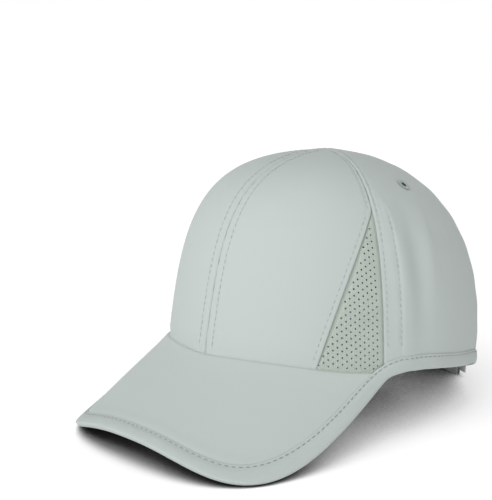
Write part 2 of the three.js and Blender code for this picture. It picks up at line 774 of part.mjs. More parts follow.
// A stitched eyelet: a low ring on the panel round a hole through it
function eyeletRing() {
  const crest = EYELET_RADIUS - EYELET_THICK;
  const profileOfRing = [
    new THREE.Vector2(EYELET_HOLE, 0),
    new THREE.Vector2(EYELET_RADIUS, 0),
    new THREE.Vector2(crest, EYELET_THICK),
    new THREE.Vector2(EYELET_HOLE + EYELET_THICK / 2, EYELET_THICK),
    new THREE.Vector2(EYELET_HOLE, 0),
  ];
  return new THREE.LatheGeometry(profileOfRing, 16);
}

function atEyelet(half, out) {
  const place = new THREE.Group();
  place.position.copy(skin(half, EYELET_ANGLE, EYELET_RISE, out));
  const { normal } = frameAt(half, EYELET_ANGLE, EYELET_RISE);
  place.quaternion.setFromUnitVectors(new THREE.Vector3(0, 1, 0), normal);
  return place;
}

// Boolean cuts
const wasm = await Module();
wasm.setup();

function toSolid(geometry) {
  const bare = geometry.clone();
  bare.deleteAttribute("normal");
  bare.deleteAttribute("uv");
  const merged = mergeVertices(bare, SMALL);
  return new wasm.Manifold(
    new wasm.Mesh({
      numProp: 3,
      vertProperties: merged.attributes.position.array,
      triVerts: new Uint32Array(merged.index.array),
    }),
  );
}

function toGeometry(solid) {
  const mesh = solid.getMesh();
  const geometry = new THREE.BufferGeometry();
  geometry.setAttribute("position", new THREE.BufferAttribute(mesh.vertProperties, 3));
  geometry.setIndex(new THREE.BufferAttribute(mesh.triVerts, 1));
  return geometry;
}

function withEyeletHole(geometry, half) {
  const place = atEyelet(half, 0);
  place.updateMatrix();
  const drill = new THREE.CylinderGeometry(EYELET_HOLE, EYELET_HOLE, 8 * CLOTH, 12).applyMatrix4(place.matrix);
  return toGeometry(toSolid(geometry).subtract(toSolid(drill)));
}

// Materials
const cloth = new THREE.MeshStandardMaterial({ name: "cloth", color: 0xc3cdc9, roughness: 0.85 });
const mesh = new THREE.MeshStandardMaterial({ name: "mesh", color: 0xb9c5bd, roughness: 0.9 });
const trim = new THREE.MeshStandardMaterial({ name: "trim", color: 0xbfcac6, roughness: 0.8 });
const inside = new THREE.MeshStandardMaterial({ name: "inside", color: 0xc9cfcc, roughness: 0.9 });
const hook = new THREE.MeshStandardMaterial({ name: "hook_and_loop", color: 0xb4bebb, roughness: 1 });
const label = new THREE.MeshStandardMaterial({ name: "label", color: 0xf0dfe2, roughness: 0.6 });

const cap = new THREE.Group();

function add(name, geometry, material, parent = cap) {
  const piece = new THREE.Mesh(geometry, material);
  piece.name = name;
  parent.add(piece);
}

const centreFront = () => 0;
const frontEnd = (rise) => insertEdge(rise);
const edgeRises = BACK_EDGE.slice(0, -3).map((row) => row.rise);
const overOpening = openingTopRise + riseFor(HALVES.left, 180, clothInset, openingTopRise);
const backRises = [
  ...edgeRises,
  ...[0.4, 0.7, 0.9, 1].map((share) => lerp(edgeRises[edgeRises.length - 1], overOpening, share)),
  0.74,
  0.82,
  0.9,
  0.96,
  topRise,
];

for (const [name, half] of Object.entries(HALVES)) {
  add(`front_panel_${name}`, panel(half, crownRises, FRONT_COLUMNS, centreFront, frontEnd), cloth);
  add(`mesh_insert_${name}`, panel(half, INSERT_RISES, INSERT_COLUMNS, insertEdge, sideSeam), mesh);
  const clothEnd = (rise) => clothEdgeAngle(panelRise(half, 180, rise));
  const back = panel(half, backRises, BACK_COLUMNS, sideSeam, clothEnd);
  add(`back_panel_${name}`, withEyeletHole(back, half), cloth);
  const place = atEyelet(half, GAP);
  add(`eyelet_${name}`, eyeletRing(), trim, place);
  cap.add(place);
}
add("peak", peakGeometry(), cloth);
add("edge_binding", edgeBinding(), trim);
add("opening_binding", openingBinding(), trim);
add("sweatband", sweatbandGeometry(), inside);
add("closure_patch", closurePatch(), hook);
add("side_tag", sideTag(), label);

// The origin is the middle of the cap's box, on the floor
const box = new THREE.Box3().setFromObject(cap);
const middle = box.getCenter(new THREE.Vector3());
cap.position.set(-middle.x, -middle.y, -box.min.z);

export default cap;
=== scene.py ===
# A ponytail baseball cap in pale grey-green cloth. The pieces are cut, folded and stitched over the packed
# frame: panels, pierced inserts, a padded peak, folded bindings, a sweatband, a hook-and-loop closure,
# eyelets and a tag. A place on the crown is an angle round the head from the centre front, and a rise from 0
# at the hem to 1 at the top.
import math

import bpy
import numpy as np
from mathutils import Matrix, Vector


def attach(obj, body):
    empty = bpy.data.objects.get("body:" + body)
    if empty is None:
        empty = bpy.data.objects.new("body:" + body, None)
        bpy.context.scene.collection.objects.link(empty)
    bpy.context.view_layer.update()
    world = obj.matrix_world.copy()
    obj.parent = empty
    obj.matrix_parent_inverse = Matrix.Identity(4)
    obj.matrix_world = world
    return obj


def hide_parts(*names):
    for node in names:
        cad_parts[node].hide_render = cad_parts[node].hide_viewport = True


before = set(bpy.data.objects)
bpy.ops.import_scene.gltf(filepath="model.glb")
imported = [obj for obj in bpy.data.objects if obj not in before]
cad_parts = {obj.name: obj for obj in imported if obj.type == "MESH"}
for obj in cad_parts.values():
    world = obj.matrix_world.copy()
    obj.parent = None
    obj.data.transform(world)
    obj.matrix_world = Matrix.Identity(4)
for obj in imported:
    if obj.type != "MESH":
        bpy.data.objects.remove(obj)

bl_info = {
    "name": "Ponytail cap",
    "version": (1, 0, 0),
    "blender": (4, 5, 0),
    "location": "View3D > Sidebar > Cap",
    "description": "Cuts, folds and stitches a ponytail baseball cap over its packed frame",
    "category": "Add Mesh",
}

# The frame's sizes, in millimetres, in the crown's own place: x = y = 0 is the middle of the head
HEAD_FRONT = 97.9
HEAD_BACK = 98.8
HEAD_HALF_WIDTH = 85.5
HEAD_ROUNDNESS = 1.934
FRONT_LIFT = 44.6
CROWN_TOP = 146.6
PEAK_REACH = 53.5
PEAK_HALF_WIDTH = 76.9
PEAK_WIDEST_AHEAD = 69.9
PEAK_END_ANGLE = 70
HEM_TURN = 6
PEAK_ARCH = 42.5
PEAK_ARCH_SPAN = 80
PEAK_ARCH_POWER = 2.47
PEAK_THICK = 2.2
HORN_DROP = 3
HORN_WIDTH = 10
HORN_LENGTH = 60
HORN_FULL_LENGTH = 20
BAND_WIDTH = 8
SWEATBAND_HEIGHT = 42
SWEATBAND_END_ANGLE = 150
SIDE_SEAM_ANGLE = 59.3
INSERT_FOOT_ANGLE = 36.5
INSERT_RISE = 0.44
OPENING_HALF_WIDTH = 17.8
TAB_REACH = 38
TAB_FADE_START = 0.26
TAB_FADE_END = 0.45
TAB_SPLIT = 3.6
TAB_FOOT_START_ANGLE = 158
TAB_FOOT_FLAT_ANGLE = 186
EYELET_ANGLE = 89
EYELET_RISE = 0.58
FOLD_HALF_LENGTH = 34
FOLD_HALF_WIDTH = 6
FOLD_HEIGHT = 1.2
HEAD_SET_BACK = 24.02

HEM_HEIGHTS = [(84, 0.775), (100, 0.685), (115, 0.61), (135, 0.39), (155, 0.175), (180, 0.09)]

# Angle, then low reach, low rise, middle reach, middle rise and top reach of the crown's profile
PROFILES = [
    (0, 0.883, 0.643, 0.8, 0.842, 0.439),
    (45, 0.934, 0.627, 0.811, 0.901, 0.464),
    (90, 1.036, 0.563, 0.816, 0.849, 0.424),
    (135, 1.071, 0.484, 0.882, 0.83, 0.412),
    (180, 1.115, 0.398, 0.866, 0.773, 0.387),
]

# Rise, then how far a back panel reaches past the centre back, as a share of the tab, and how far it stops
# short of it, as a share of the opening
BACK_EDGE = [
    (0, 1, 0),
    (0.05, 1, 0),
    (0.1, 1, 0),
    (0.12, 0.82, 0),
    (0.14, 0.63, 0),
    (0.165, 0.4, 0),
    (0.19, 0.18, 0),
    (0.22, 0, 0),
    (0.255, 0, 0.28),
    (0.3, 0, 0.58),
    (0.35, 0, 0.82),
    (0.4, 0, 0.96),
    (0.45, 0, 1),
    (0.5, 0, 0.95),
    (0.55, 0, 0.84),
    (0.6, 0, 0.68),
    (0.635, 0, 0.53),
    (0.66, 0, 0.36),
    (0.672, 0, 0.23),
    (0.678, 0, 0.12),
    (0.68, 0, 0),
]

# Soft folds: side, angle, rise, tilt, then shares of a fold's half length, half width and height
FOLDS = [
    (1, 69, 0.24, 92, 1, 1, 1),
    (1, 76, 0.23, 88, 0.94, 1, -1.08),
    (-1, 69, 0.25, 92, 1, 1, 0.92),
    (-1, 77, 0.22, 88, 0.94, 1.17, -1),
    (-1, 160, 0.3, -38, 0.59, 1, 1),
    (-1, 163, 0.22, -30, 0.65, 1, -1),
    (1, 158, 0.24, -25, 0.7, 1.17, -0.75),
]

# Finer creases that the frame's solids leave out, in the same columns
CREASES = [
    (1, 66, 0.42, 95, 0.47, 0.42, 0.29),
    (1, 63.5, 0.3, 92, 0.65, 0.37, 0.25),
    (1, 84, 0.3, 80, 0.76, 0.67, 0.42),
    (-1, 118, 0.5, 70, 0.76, 0.43, -0.5),
    (-1, 121, 0.5, 70, 0.82, 0.5, 0.42),
    (-1, 115, 0.62, 60, 0.47, 0.33, 0.29),
    (-1, 150, 0.42, -50, 0.35, 0.5, 0.5),
    (-1, 153, 0.38, -50, 0.35, 0.42, -0.42),
    (-1, 150, 0.31, -42, 0.47, 0.5, -0.5),
    (-1, 148, 0.26, -34, 0.53, 0.5, 0.5),
    (-1, 150, 0.18, -24, 0.59, 0.67, 0.5),
    (-1, 145, 0.13, -16, 0.7, 0.67, -0.5),
    (1, 150, 0.16, -14, 0.65, 0.83, -0.42),
    (1, 152, 0.3, -50, 0.41, 0.67, 0.25),
]

# The net: distance between neighbouring columns of holes, between holes of a column, and a hole's radius
NET_COLUMN = 2.37
NET_ROW = 3.31
NET_HOLE = 0.47
# The depth of the net under the cloth beside it, and how far its edges are tucked below that
NET_DEPTH = 0.45
NET_TUCK = 0.8
# How far the net runs on under the side panel, the peak, the insert's point and the front panel
NET_UNDER_SIDE = 1.2
NET_UNDER_PEAK = 1.6
NET_UNDER_POINT = 8
NET_UNDER_FRONT = 3
# Cells along a side of the grid that the net is cut from, and the angle that its heights are measured at
NET_CELLS = 44
NET_ANGLE = 50.0

# Where the panels end at the top, and half the gap left at their centre and side seams
TOP_RISE = 0.9975
CENTRE_GAP = 0.06
SIDE_GAP = 0.1

# Rows of stitches on the crown, by their distance from a seam, and one by its angle
CENTRE_ROW = 4.7
SIDE_ROW = 2.2
EDGE_ROW = 2.4
BACK_ROW = 4.3
PUCKERED_ROW_ANGLE = 66.0

# The sweatband's depth inside the crown, the radius that its length is measured at, the heights of its rows
# of corners, and its section as heights and swellings
SWEATBAND_DEPTH = 1.9
SWEATBAND_RADIUS = 92
SWEATBAND_ROWS = [1.2, 1.8, 3, 6, 10, 15, 20, 25, 30, 34, 37, 38.5, 39.3, 40, 40.8, 41.5, SWEATBAND_HEIGHT]
SWEATBAND_SWELL = [
    (1.2, 0),
    (3, 0.6),
    (12, 1.3),
    (30, 1.2),
    (38.5, 0.5),
    (39.3, 0.3),
    (40.5, 0.7),
    (SWEATBAND_HEIGHT, 0.1),
]

# Spans on the outer tab, past the centre back and up from the hem
PATCH_SPAN = (-12, 31)
PATCH_HEIGHTS = (15, 25)
TAG_SPAN = (34.2, 42.4)
TAG_HEIGHTS = (3.4, 25.4)

# The ring of stitches round an eyelet
EYELET_STITCHES = 26
EYELET_RADIUS = 2.75
EYELET_HOLE = 1.5

# The camera: the point that it looks at in the crown's millimetres, its turn from the front, its height above
# level, its distance in metres and its lens
CAMERA_AIM = (-64.16, 0, 80.89)
CAMERA_TURN = 43.865
CAMERA_HEIGHT = 8.378
CAMERA_DISTANCE = 0.56118
CAMERA_LENS = 63.01

# Heights in degrees between which the white wall fades into the ceiling, and the breadth of a light
WALL_TOP = 18
CEILING_START = 24
LIGHT_BREADTH = 45

# The floor's painted contact shadow: how near a thing darkens it, in metres, the open shares between which
# its glow and its paint fade into the painted shadow, and its paint under that shadow and in the open
SHADE_REACH = 0.14
GLOW_SHADOW_FADE = (0.2, 0.75)
PAINTED_SHADOW_FADE = (0.2, 0.7)
SHADOWED_PAINT = 0.02
OPEN_PAINT = 0.45

LEFT = 1
RIGHT = -1


def smoothstep(value, low, high):
    share = np.clip((np.asarray(value, float) - low) / (high - low), 0, 1)
    return share * share * (3 - 2 * share)


def bump(distance, width):
    return np.exp(-((distance / width) ** 2))


def smooth_curve(places, values):
    """Monotone cubic curve through a table's values."""
    places = np.array(places, float)
    values = np.array(values, float)
    steps = np.diff(places)
    rates = np.diff(values) / steps
    slopes = np.zeros(len(places))
    slopes[0] = rates[0]
    slopes[-1] = rates[-1]
    for i in range(1, len(places) - 1):
        if rates[i - 1] * rates[i] > 0:
            before = 2 * steps[i] + steps[i - 1]
            after = steps[i] + 2 * steps[i - 1]
            slopes[i] = (before + after) / (before / rates[i - 1] + after / rates[i])

    def curve(place):
        place = np.asarray(place, float)
        i = np.clip(np.searchsorted(places, place, side="left") - 1, 0, len(steps) - 1)
        s = np.clip((place - places[i]) / steps[i], 0, 1)
        rest = 1 - s
        ends = values[i] * rest**2 * (1 + 2 * s) + values[i + 1] * s**2 * (3 - 2 * s)
        return ends + steps[i] * (slopes[i] * s * rest**2 - slopes[i + 1] * s**2 * rest)

    return curve


def round_curve(rows, column):
    """A column of a table of angles, carried on past the centre front and back as in a mirror."""
    back = rows[:-1][::-1]
    front = rows[1:][::-1] if rows[0][0] == 0 else []
    places = [-row[0] for row in front] + [row[0] for row in rows] + [360 - row[0] for row in back]
    return smooth_curve(places, [row[column] for row in [*front, *rows, *back]])


def run_along(points):
    """The length run at each point of a line."""
    return np.concatenate([[0], np.cumsum(np.linalg.norm(np.diff(points, axis=0), axis=1))])


def hem_radius(angle):
    turned = np.radians(angle)
    side = np.abs(np.sin(turned)) / HEAD_HALF_WIDTH
    depth = np.abs(np.cos(turned))
    length = np.where(np.cos(turned) > 0, HEAD_FRONT, HEAD_BACK)
    return (side**HEAD_ROUNDNESS + (depth / length) ** HEAD_ROUNDNESS) ** (-1 / HEAD_ROUNDNESS)


def on_hem(angle):
    radius = hem_radius(angle)
    turned = np.radians(angle)
    return np.stack([radius * np.sin(turned), -radius * np.cos(turned)], -1)


def peak_outline():
    """Half of the peak's outline in plan, from the hem to the centre front."""
    start = on_hem(PEAK_END_ANGLE)
    along = on_hem(PEAK_END_ANGLE - 1) - start
    along /= np.linalg.norm(along)
    widest = np.array([PEAK_HALF_WIDTH, -PEAK_WIDEST_AHEAD])
    front = np.array([0, -HEAD_FRONT - PEAK_REACH])
    cheek = np.linalg.norm(widest - start)
    lobe = np.linalg.norm(front - widest)
    first = [start, start + 0.42 * cheek * along, widest + [0, 0.72 * cheek], widest]
    second = [widest, widest - [0, 0.7 * lobe], front + [0.39 * lobe, 0], front]
    points = []
    for a, b, c, d in (first, second):
        t = np.linspace(0, 1, 400)[:, None]
        points.append((1 - t) ** 3 * a + 3 * (1 - t) ** 2 * t * b + 3 * (1 - t) * t**2 * c + t**3 * d)
    return np.concatenate([points[0], points[1][1:]])


OUTLINE = peak_outline()
OUTLINE_RUN = run_along(OUTLINE)
HORN_END = on_hem(PEAK_END_ANGLE)


def horn_drop(x, y):
    """How far the peak's two ends hang below its arch, where they run back along the head."""
    outward = smoothstep(np.abs(x), HORN_END[0] - HORN_WIDTH, HORN_END[0])
    backward = smoothstep(y, HORN_END[1] - HORN_LENGTH, HORN_END[1] - HORN_FULL_LENGTH)
    return HORN_DROP * outward * backward


def face_height(slope, x, y):
    arch = PEAK_ARCH * (np.abs(x) / PEAK_ARCH_SPAN) ** PEAK_ARCH_POWER
    return FRONT_LIFT + slope * (y + HEAD_FRONT) - arch - horn_drop(x, y)


def on_face(slope, x, y, lift=0.0):
    """A point of the peak's upper face and its normal."""
    step = 0.05
    across = (face_height(slope, x + step, y) - face_height(slope, x - step, y)) / (2 * step)
    ahead = (face_height(slope, x, y + step) - face_height(slope, x, y - step)) / (2 * step)
    normal = np.stack([-across, -ahead, np.ones_like(across)], -1)
    normal /= np.linalg.norm(normal, axis=-1, keepdims=True)
    return np.stack([x, y, face_height(slope, x, y)], -1) + normal * np.asarray(lift)[..., None], normal


def slope_that_rests():
    low, high = 0.0, FRONT_LIFT * 2 / PEAK_REACH
    for _ in range(40):
        slope = (low + high) / 2
        point, _ = on_face(slope, OUTLINE[:, 0], OUTLINE[:, 1], -PEAK_THICK)
        if point[:, 2].min() > 0:
            low = slope
        else:
            high = slope
    return low


PEAK_SLOPE = slope_that_rests()


def peak_height_at_hem(angle):
    place = on_hem(angle)
    return on_face(PEAK_SLOPE, place[..., 0], place[..., 1])[0][..., 2]


BEHIND_PEAK = round_curve(
    [
        (PEAK_END_ANGLE - 30, float(peak_height_at_hem(PEAK_END_ANGLE - 30)) / FRONT_LIFT),
        (PEAK_END_ANGLE, float(peak_height_at_hem(PEAK_END_ANGLE)) / FRONT_LIFT),
        *HEM_HEIGHTS,
    ],
    1,
)


def hem_height(angle):
    spread = HEM_TURN * smoothstep(angle, PEAK_END_ANGLE - 2 * HEM_TURN, PEAK_END_ANGLE - HEM_TURN / 2)
    total = 0
    for share in (-1, -0.5, 0, 0.5, 1):
        at = angle + share * spread
        total = total + np.where(at < PEAK_END_ANGLE, peak_height_at_hem(at), FRONT_LIFT * BEHIND_PEAK(at))
    return total / 5


PROFILE = [round_curve(PROFILES, column) for column in range(1, 6)]
TAB_END_ANGLE = 180 + math.degrees(math.asin(TAB_REACH / HEAD_BACK))


def tab_lift(side, angle):
    """The outer tab lies outside the inner one, which comes from the wearer's left."""
    return -side * TAB_SPLIT * smoothstep(angle, 360 - TAB_END_ANGLE, TAB_END_ANGLE)


def foot(side, angle):
    if side == LEFT:
        return np.ones_like(np.asarray(angle, float))
    return 1 - smoothstep(angle, TAB_FOOT_START_ANGLE, TAB_FOOT_FLAT_ANGLE)


def bare_skin(side, angle, rise):
    angle = np.asarray(angle, float)
    rise = np.asarray(rise, float)
    radius = hem_radius(angle)
    hem = hem_height(angle) * foot(side, angle)
    low_reach, low_rise, mid_reach, mid_rise, top_reach = (curve(angle) for curve in PROFILE)
    fall = 1 - rise
    low = 4 * fall**3 * rise
    mid = 6 * fall**2 * rise**2
    top = 4 * fall * rise**3
    reach = fall**4 + low * low_reach + mid * mid_reach + top * top_reach
    share = low * low_rise + mid * mid_rise + top + rise**4
    turned = np.radians(angle)
    return np.stack(
        [
            side * radius * reach * np.sin(turned),
            -radius * reach * np.cos(turned),
            hem + (CROWN_TOP - hem) * share,
        ],
        -1,
    )


def frame_at(side, angle, rise):
    """How far the skin goes with a step of rise and of angle, and its outward normal."""
    angle = np.asarray(angle, float)
    rise = np.asarray(rise, float)
    step = 0.01
    up = (bare_skin(side, angle, rise + step) - bare_skin(side, angle, rise - step)) / (2 * step)
    around = (bare_skin(side, angle + 1, rise) - bare_skin(side, angle - 1, rise)) / 2
    normal = np.cross(around, up) * side
    return up, around, normal / np.linalg.norm(normal, axis=-1, keepdims=True)


def fold_lift(side, angle, rise, rows):
    lift = np.zeros(np.broadcast(angle, rise).shape)
    for row_side, at, height, tilt, length, width, amount in rows:
        if row_side != side:
            continue
        up, around, _ = frame_at(side, at, height)
        across = (angle - at) * np.linalg.norm(around)
        upward = (rise - height) * np.linalg.norm(up)
        turned = math.radians(tilt)
        along = across * math.cos(turned) + upward * math.sin(turned)
        beside = upward * math.cos(turned) - across * math.sin(turned)
        lengthwise = bump(along, length * FOLD_HALF_LENGTH)
        crosswise = bump(beside, width * FOLD_HALF_WIDTH)
        lift += FOLD_HEIGHT * amount * lengthwise * crosswise
    return lift


def skin(side, angle, rise, out=0.0, creased=True):
    """A point on the crown, so far out from its skin."""
    _, _, normal = frame_at(side, angle, np.clip(rise, 0.01, 0.98))
    fade = 1 - smoothstep(rise, TAB_FADE_START, TAB_FADE_END)
    lift = tab_lift(side, angle) * fade + fold_lift(side, angle, rise, FOLDS) + out
    if creased:
        lift = lift + fold_lift(side, angle, rise, CREASES) * smoothstep(rise, 0.03, 0.1)
    return bare_skin(side, angle, rise) + normal * np.asarray(lift)[..., None]


def degrees_for(side, angle, rise, distance):
    _, around, _ = frame_at(side, angle, np.clip(rise, 0.01, 0.997))
    return distance / np.linalg.norm(around, axis=-1)


def rise_for(side, angle, distance, rise=0.01):
    up, _, _ = frame_at(side, angle, np.asarray(rise, float))
    return distance / np.linalg.norm(up, axis=-1)


def walk(side, angle, rise, direction, distance):
    """The nearest place on the skin so far away in a given direction."""
    up, around, _ = frame_at(side, angle, rise)
    uu = (up * up).sum(-1)
    rr = (around * around).sum(-1)
    ur = (up * around).sum(-1)
    du = (direction * up).sum(-1)
    dr = (direction * around).sum(-1)
    area = uu * rr - ur * ur
    return angle + distance * (dr * uu - du * ur) / area, rise + distance * (du * rr - dr * ur) / area


OPENING_EDGE = smooth_curve(
    [row[0] for row in BACK_EDGE],
    [TAB_REACH * row[1] - OPENING_HALF_WIDTH * row[2] for row in BACK_EDGE],
)
OPENING_TOP_RISE = BACK_EDGE[-1][0]
TAB_TOP_RISE = BACK_EDGE[2][0]


def back_edge_angle(rise):
    radius = np.abs(bare_skin(LEFT, np.full_like(np.asarray(rise, float), 180.0), rise)[..., 1])
    return 180 + np.degrees(np.arcsin(OPENING_EDGE(rise) / radius))


def free_edge(side, step):
    """Places along a back panel's free edge, from the tab's corner to the teardrop's top, and the way in."""
    fine = 0.0005
    rise = np.arange(TAB_TOP_RISE + fine, OPENING_TOP_RISE, fine)
    angle = back_edge_angle(rise)
    point = skin(side, angle, rise, creased=False)
    run = run_along(point)
    wanted = np.linspace(0, run[-1], max(int(run[-1] / step), 2) + 1)
    rise = np.interp(wanted, run, rise)
    angle = np.interp(wanted, run, angle)
    point = skin(side, angle, rise, creased=False)
    along = np.gradient(point, axis=0)
    _, around, normal = frame_at(side, angle, rise)
    inward = np.cross(normal, along)
    inward /= np.linalg.norm(inward, axis=-1, keepdims=True)
    inward[(inward * around).sum(-1) > 0] *= -1
    return angle, rise, inward


def opening_line(side, distance, step=1.0):
    """A line at a distance inside the free edge, as angles and rises."""
    angle, rise, inward = free_edge(side, step)
    return walk(side, angle, rise, inward, distance)


def cloth_edge_angle(rise, inset):
    """Where a back panel's cloth ends at a rise, so far inside the free edge."""
    edge_angle, edge_rise = opening_line(LEFT, inset)
    order = np.argsort(edge_rise)
    edge_angle, edge_rise = edge_angle[order], edge_rise[order]
    tab_edge = TAB_END_ANGLE - degrees_for(LEFT, np.full_like(rise, 180.0), rise, inset)
    found = np.interp(rise, edge_rise, edge_angle, right=180)
    found = np.where(rise > edge_rise[-1], 180, found)
    return np.minimum(tab_edge, found)


def insert_edge(rise):
    share = np.minimum(np.asarray(rise, float) / INSERT_RISE, 1)
    return INSERT_FOOT_ANGLE + (SIDE_SEAM_ANGLE - INSERT_FOOT_ANGLE) * share


def peak_edge(share):
    """Stations of the peak's edge: place, way in, the crown's distance in plan and on the face, its angle."""
    run = np.asarray(share, float) * OUTLINE_RUN[-1]
    place = np.stack([np.interp(run, OUTLINE_RUN, OUTLINE[:, k]) for k in (0, 1)], -1)
    tangent = np.gradient(OUTLINE, axis=0)
    along = np.stack([np.interp(run, OUTLINE_RUN, tangent[:, k]) for k in (0, 1)], -1)
    along /= np.linalg.norm(along, axis=-1, keepdims=True)
    inward = np.stack([-along[:, 1], along[:, 0]], -1)
    inward[(inward * place).sum(-1) > 0] *= -1
    near = np.zeros(len(run))
    beyond = np.full(len(run), PEAK_REACH + HEAD_FRONT / 2)
    for _ in range(40):
        reach = (near + beyond) / 2
        tried = place + inward * reach[:, None]
        angle = np.degrees(np.arctan2(tried[:, 0], -tried[:, 1]))
        outside = np.linalg.norm(tried, axis=-1) > hem_radius(angle)
        near = np.where(outside, reach, near)
        beyond = np.where(outside, beyond, reach)
    corner = place + inward * near[:, None]
    rim, _ = on_face(PEAK_SLOPE, place[:, 0], place[:, 1])
    foot_point, _ = on_face(PEAK_SLOPE, corner[:, 0], corner[:, 1])
    return {
        "place": place,
        "inward": inward,
        "plan": near,
        "width": np.linalg.norm(rim - foot_point, axis=-1),
        "angle": np.degrees(np.arctan2(corner[:, 0], -corner[:, 1])),
    }


def over_peak(edge, distance):
    """Points and normals so far in from the peak's edge, and up the crown where the peak is narrow."""
    width = np.maximum(edge["width"], 1e-3)
    reach = edge["plan"] * np.minimum(distance, width) / width
    place = edge["place"] + edge["inward"] * reach[:, None]
    point, face = on_face(PEAK_SLOPE, place[:, 0], place[:, 1])
    _, _, crown = frame_at(LEFT, edge["angle"], np.full(len(width), 0.01))
    blend = smoothstep(width - distance, 0, BAND_WIDTH / 2)[:, None]
    normal = crown * (1 - blend) + face * blend
    up_crown = np.maximum(distance - width, 0)
    rise = rise_for(LEFT, edge["angle"], up_crown)
    on_crown = skin(LEFT, edge["angle"], rise, creased=False)
    _, _, crown_normal = frame_at(LEFT, edge["angle"], np.clip(rise, 0.01, 0.98))
    beyond = (distance > width)[:, None]
    point = np.where(beyond, on_crown, point)
    normal = np.where(beyond, crown_normal, normal)
    return point, normal / np.linalg.norm(normal, axis=-1, keepdims=True)


# Making meshes


def to_row(points):
    """From the crown's millimetres to the frame's metres."""
    return (np.asarray(points, float) + [0, HEAD_SET_BACK, 0]) / 1000


def deselect():
    for obj in list(bpy.context.selected_objects):
        obj.select_set(False)


def select_only(obj):
    deselect()
    obj.select_set(True)
    bpy.context.view_layer.objects.active = obj


def edit(obj, *steps):
    """Runs edit-mode operators on a whole mesh."""
    select_only(obj)
    bpy.ops.object.mode_set(mode="EDIT")
    bpy.ops.mesh.select_all(action="SELECT")
    for step in steps:
        step()
    bpy.ops.object.mode_set(mode="OBJECT")


def apply_modifier(obj, kind, **settings):
    select_only(obj)
    made = obj.modifiers.new(kind.title(), kind)
    for key, value in settings.items():
        setattr(made, key, value)
    bpy.ops.object.modifier_apply(modifier=made.name)


def coordinates(obj):
    found = np.empty(len(obj.data.vertices) * 3, np.float64)
    obj.data.vertices.foreach_get("co", found)
    return found.reshape(-1, 3)


def place(obj, points):
    obj.data.vertices.foreach_set("co", np.ascontiguousarray(points, np.float64).ravel())
    obj.data.update()


def set_uv(obj, flat):
    """The cloth's own flat coordinates, in metres, as the piece's UV map."""
    layer = obj.data.uv_layers.active or obj.data.uv_layers.new(name="Cloth")
    corner = np.empty(len(obj.data.loops), np.int32)
    obj.data.loops.foreach_get("vertex_index", corner)
    layer.data.foreach_set("uv", np.ascontiguousarray(flat[corner], np.float64).ravel())


def sheet_of(name, points, flat):
    """A grid of cloth: points and flat coordinates are arrays of rows by columns."""
    rows, columns = points.shape[:2]
    deselect()
    bpy.ops.mesh.primitive_grid_add(x_subdivisions=columns - 1, y_subdivisions=rows - 1, size=2)
    obj = bpy.context.active_object
    obj.name = name
    obj.data.name = name
    at = coordinates(obj)
    column = np.rint((at[:, 0] + 1) / 2 * (columns - 1)).astype(int)
    row = np.rint((at[:, 1] + 1) / 2 * (rows - 1)).astype(int)
    place(obj, to_row(points[row, column]))
    set_uv(obj, flat[row, column])
    return obj


def face_out(obj, outward):
    """Turns a sheet so that its faces, on the whole, look the way given."""
    normal = sum((Vector(p.normal) * p.area for p in obj.data.polygons), Vector())
    if normal.dot(Vector(outward)) < 0:
        edit(obj, bpy.ops.mesh.flip_normals)


def thicken(obj, thickness, offset=-1, inner_slot=0, rim_slot=0, even=True):
    apply_modifier(
        obj,
        "SOLIDIFY",
        thickness=thickness / 1000,
        offset=offset,
        use_even_offset=even,
        use_quality_normals=even,
        material_offset=inner_slot,
        material_offset_rim=rim_slot,
    )


def smooth(obj, angle=40):
    select_only(obj)
    bpy.ops.object.shade_smooth_by_angle(angle=math.radians(angle))


def join(name, pieces):
    deselect()
    for piece in pieces:
        piece.select_set(True)
    bpy.context.view_layer.objects.active = pieces[0]
    if len(pieces) > 1:
        bpy.ops.object.join()
    pieces[0].name = name
    pieces[0].data.name = name
    return pieces[0]


def finish_piece(obj, replaced=()):
    obj.location = (0, 0, 0)
    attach(obj, "root")
    if replaced:
        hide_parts(*replaced)


def steps_between(length, fine, coarse, margin):
    """Shares from 0 to 1 over a length, close together near both ends."""
    places = [0.0]
    while places[-1] < length / 2:
        reach = places[-1]
        places.append(reach + (fine if reach < margin else min(coarse, fine + (reach - margin) * 0.25)))
    half = np.array(places) / (2 * places[-1])
    return np.concatenate([half[:-1], [0.5], (1 - half[:-1])[::-1]])


# Materials


class Field:
    """A value that changes over a surface, with the arithmetic that nodes do."""

    def __init__(self, paint, socket):
        self.paint = paint
        self.socket = socket

    def maths(self, operation, *values):
        return self.paint.field("ShaderNodeMath", {"operation": operation}, dict(enumerate(values)))

    def __add__(self, other):
        return self.maths("ADD", self, other)

    __radd__ = __add__

    def __sub__(self, other):
        return self.maths("SUBTRACT", self, other)

    def __rsub__(self, other):
        return self.maths("SUBTRACT", other, self)

    def __mul__(self, other):
        return self.maths("MULTIPLY", self, other)

    __rmul__ = __mul__

    def __truediv__(self, other):
        return self.maths("DIVIDE", self, other)

    def sine(self):
        return self.maths("SINE", self)

    def absolute(self):
        return self.maths("ABSOLUTE", self)

    def fraction(self):
        return self.maths("FRACT", self)

    def below(self, other):
        return self.maths("LESS_THAN", self, other)

    def above(self, other):
        return self.maths("GREATER_THAN", self, other)


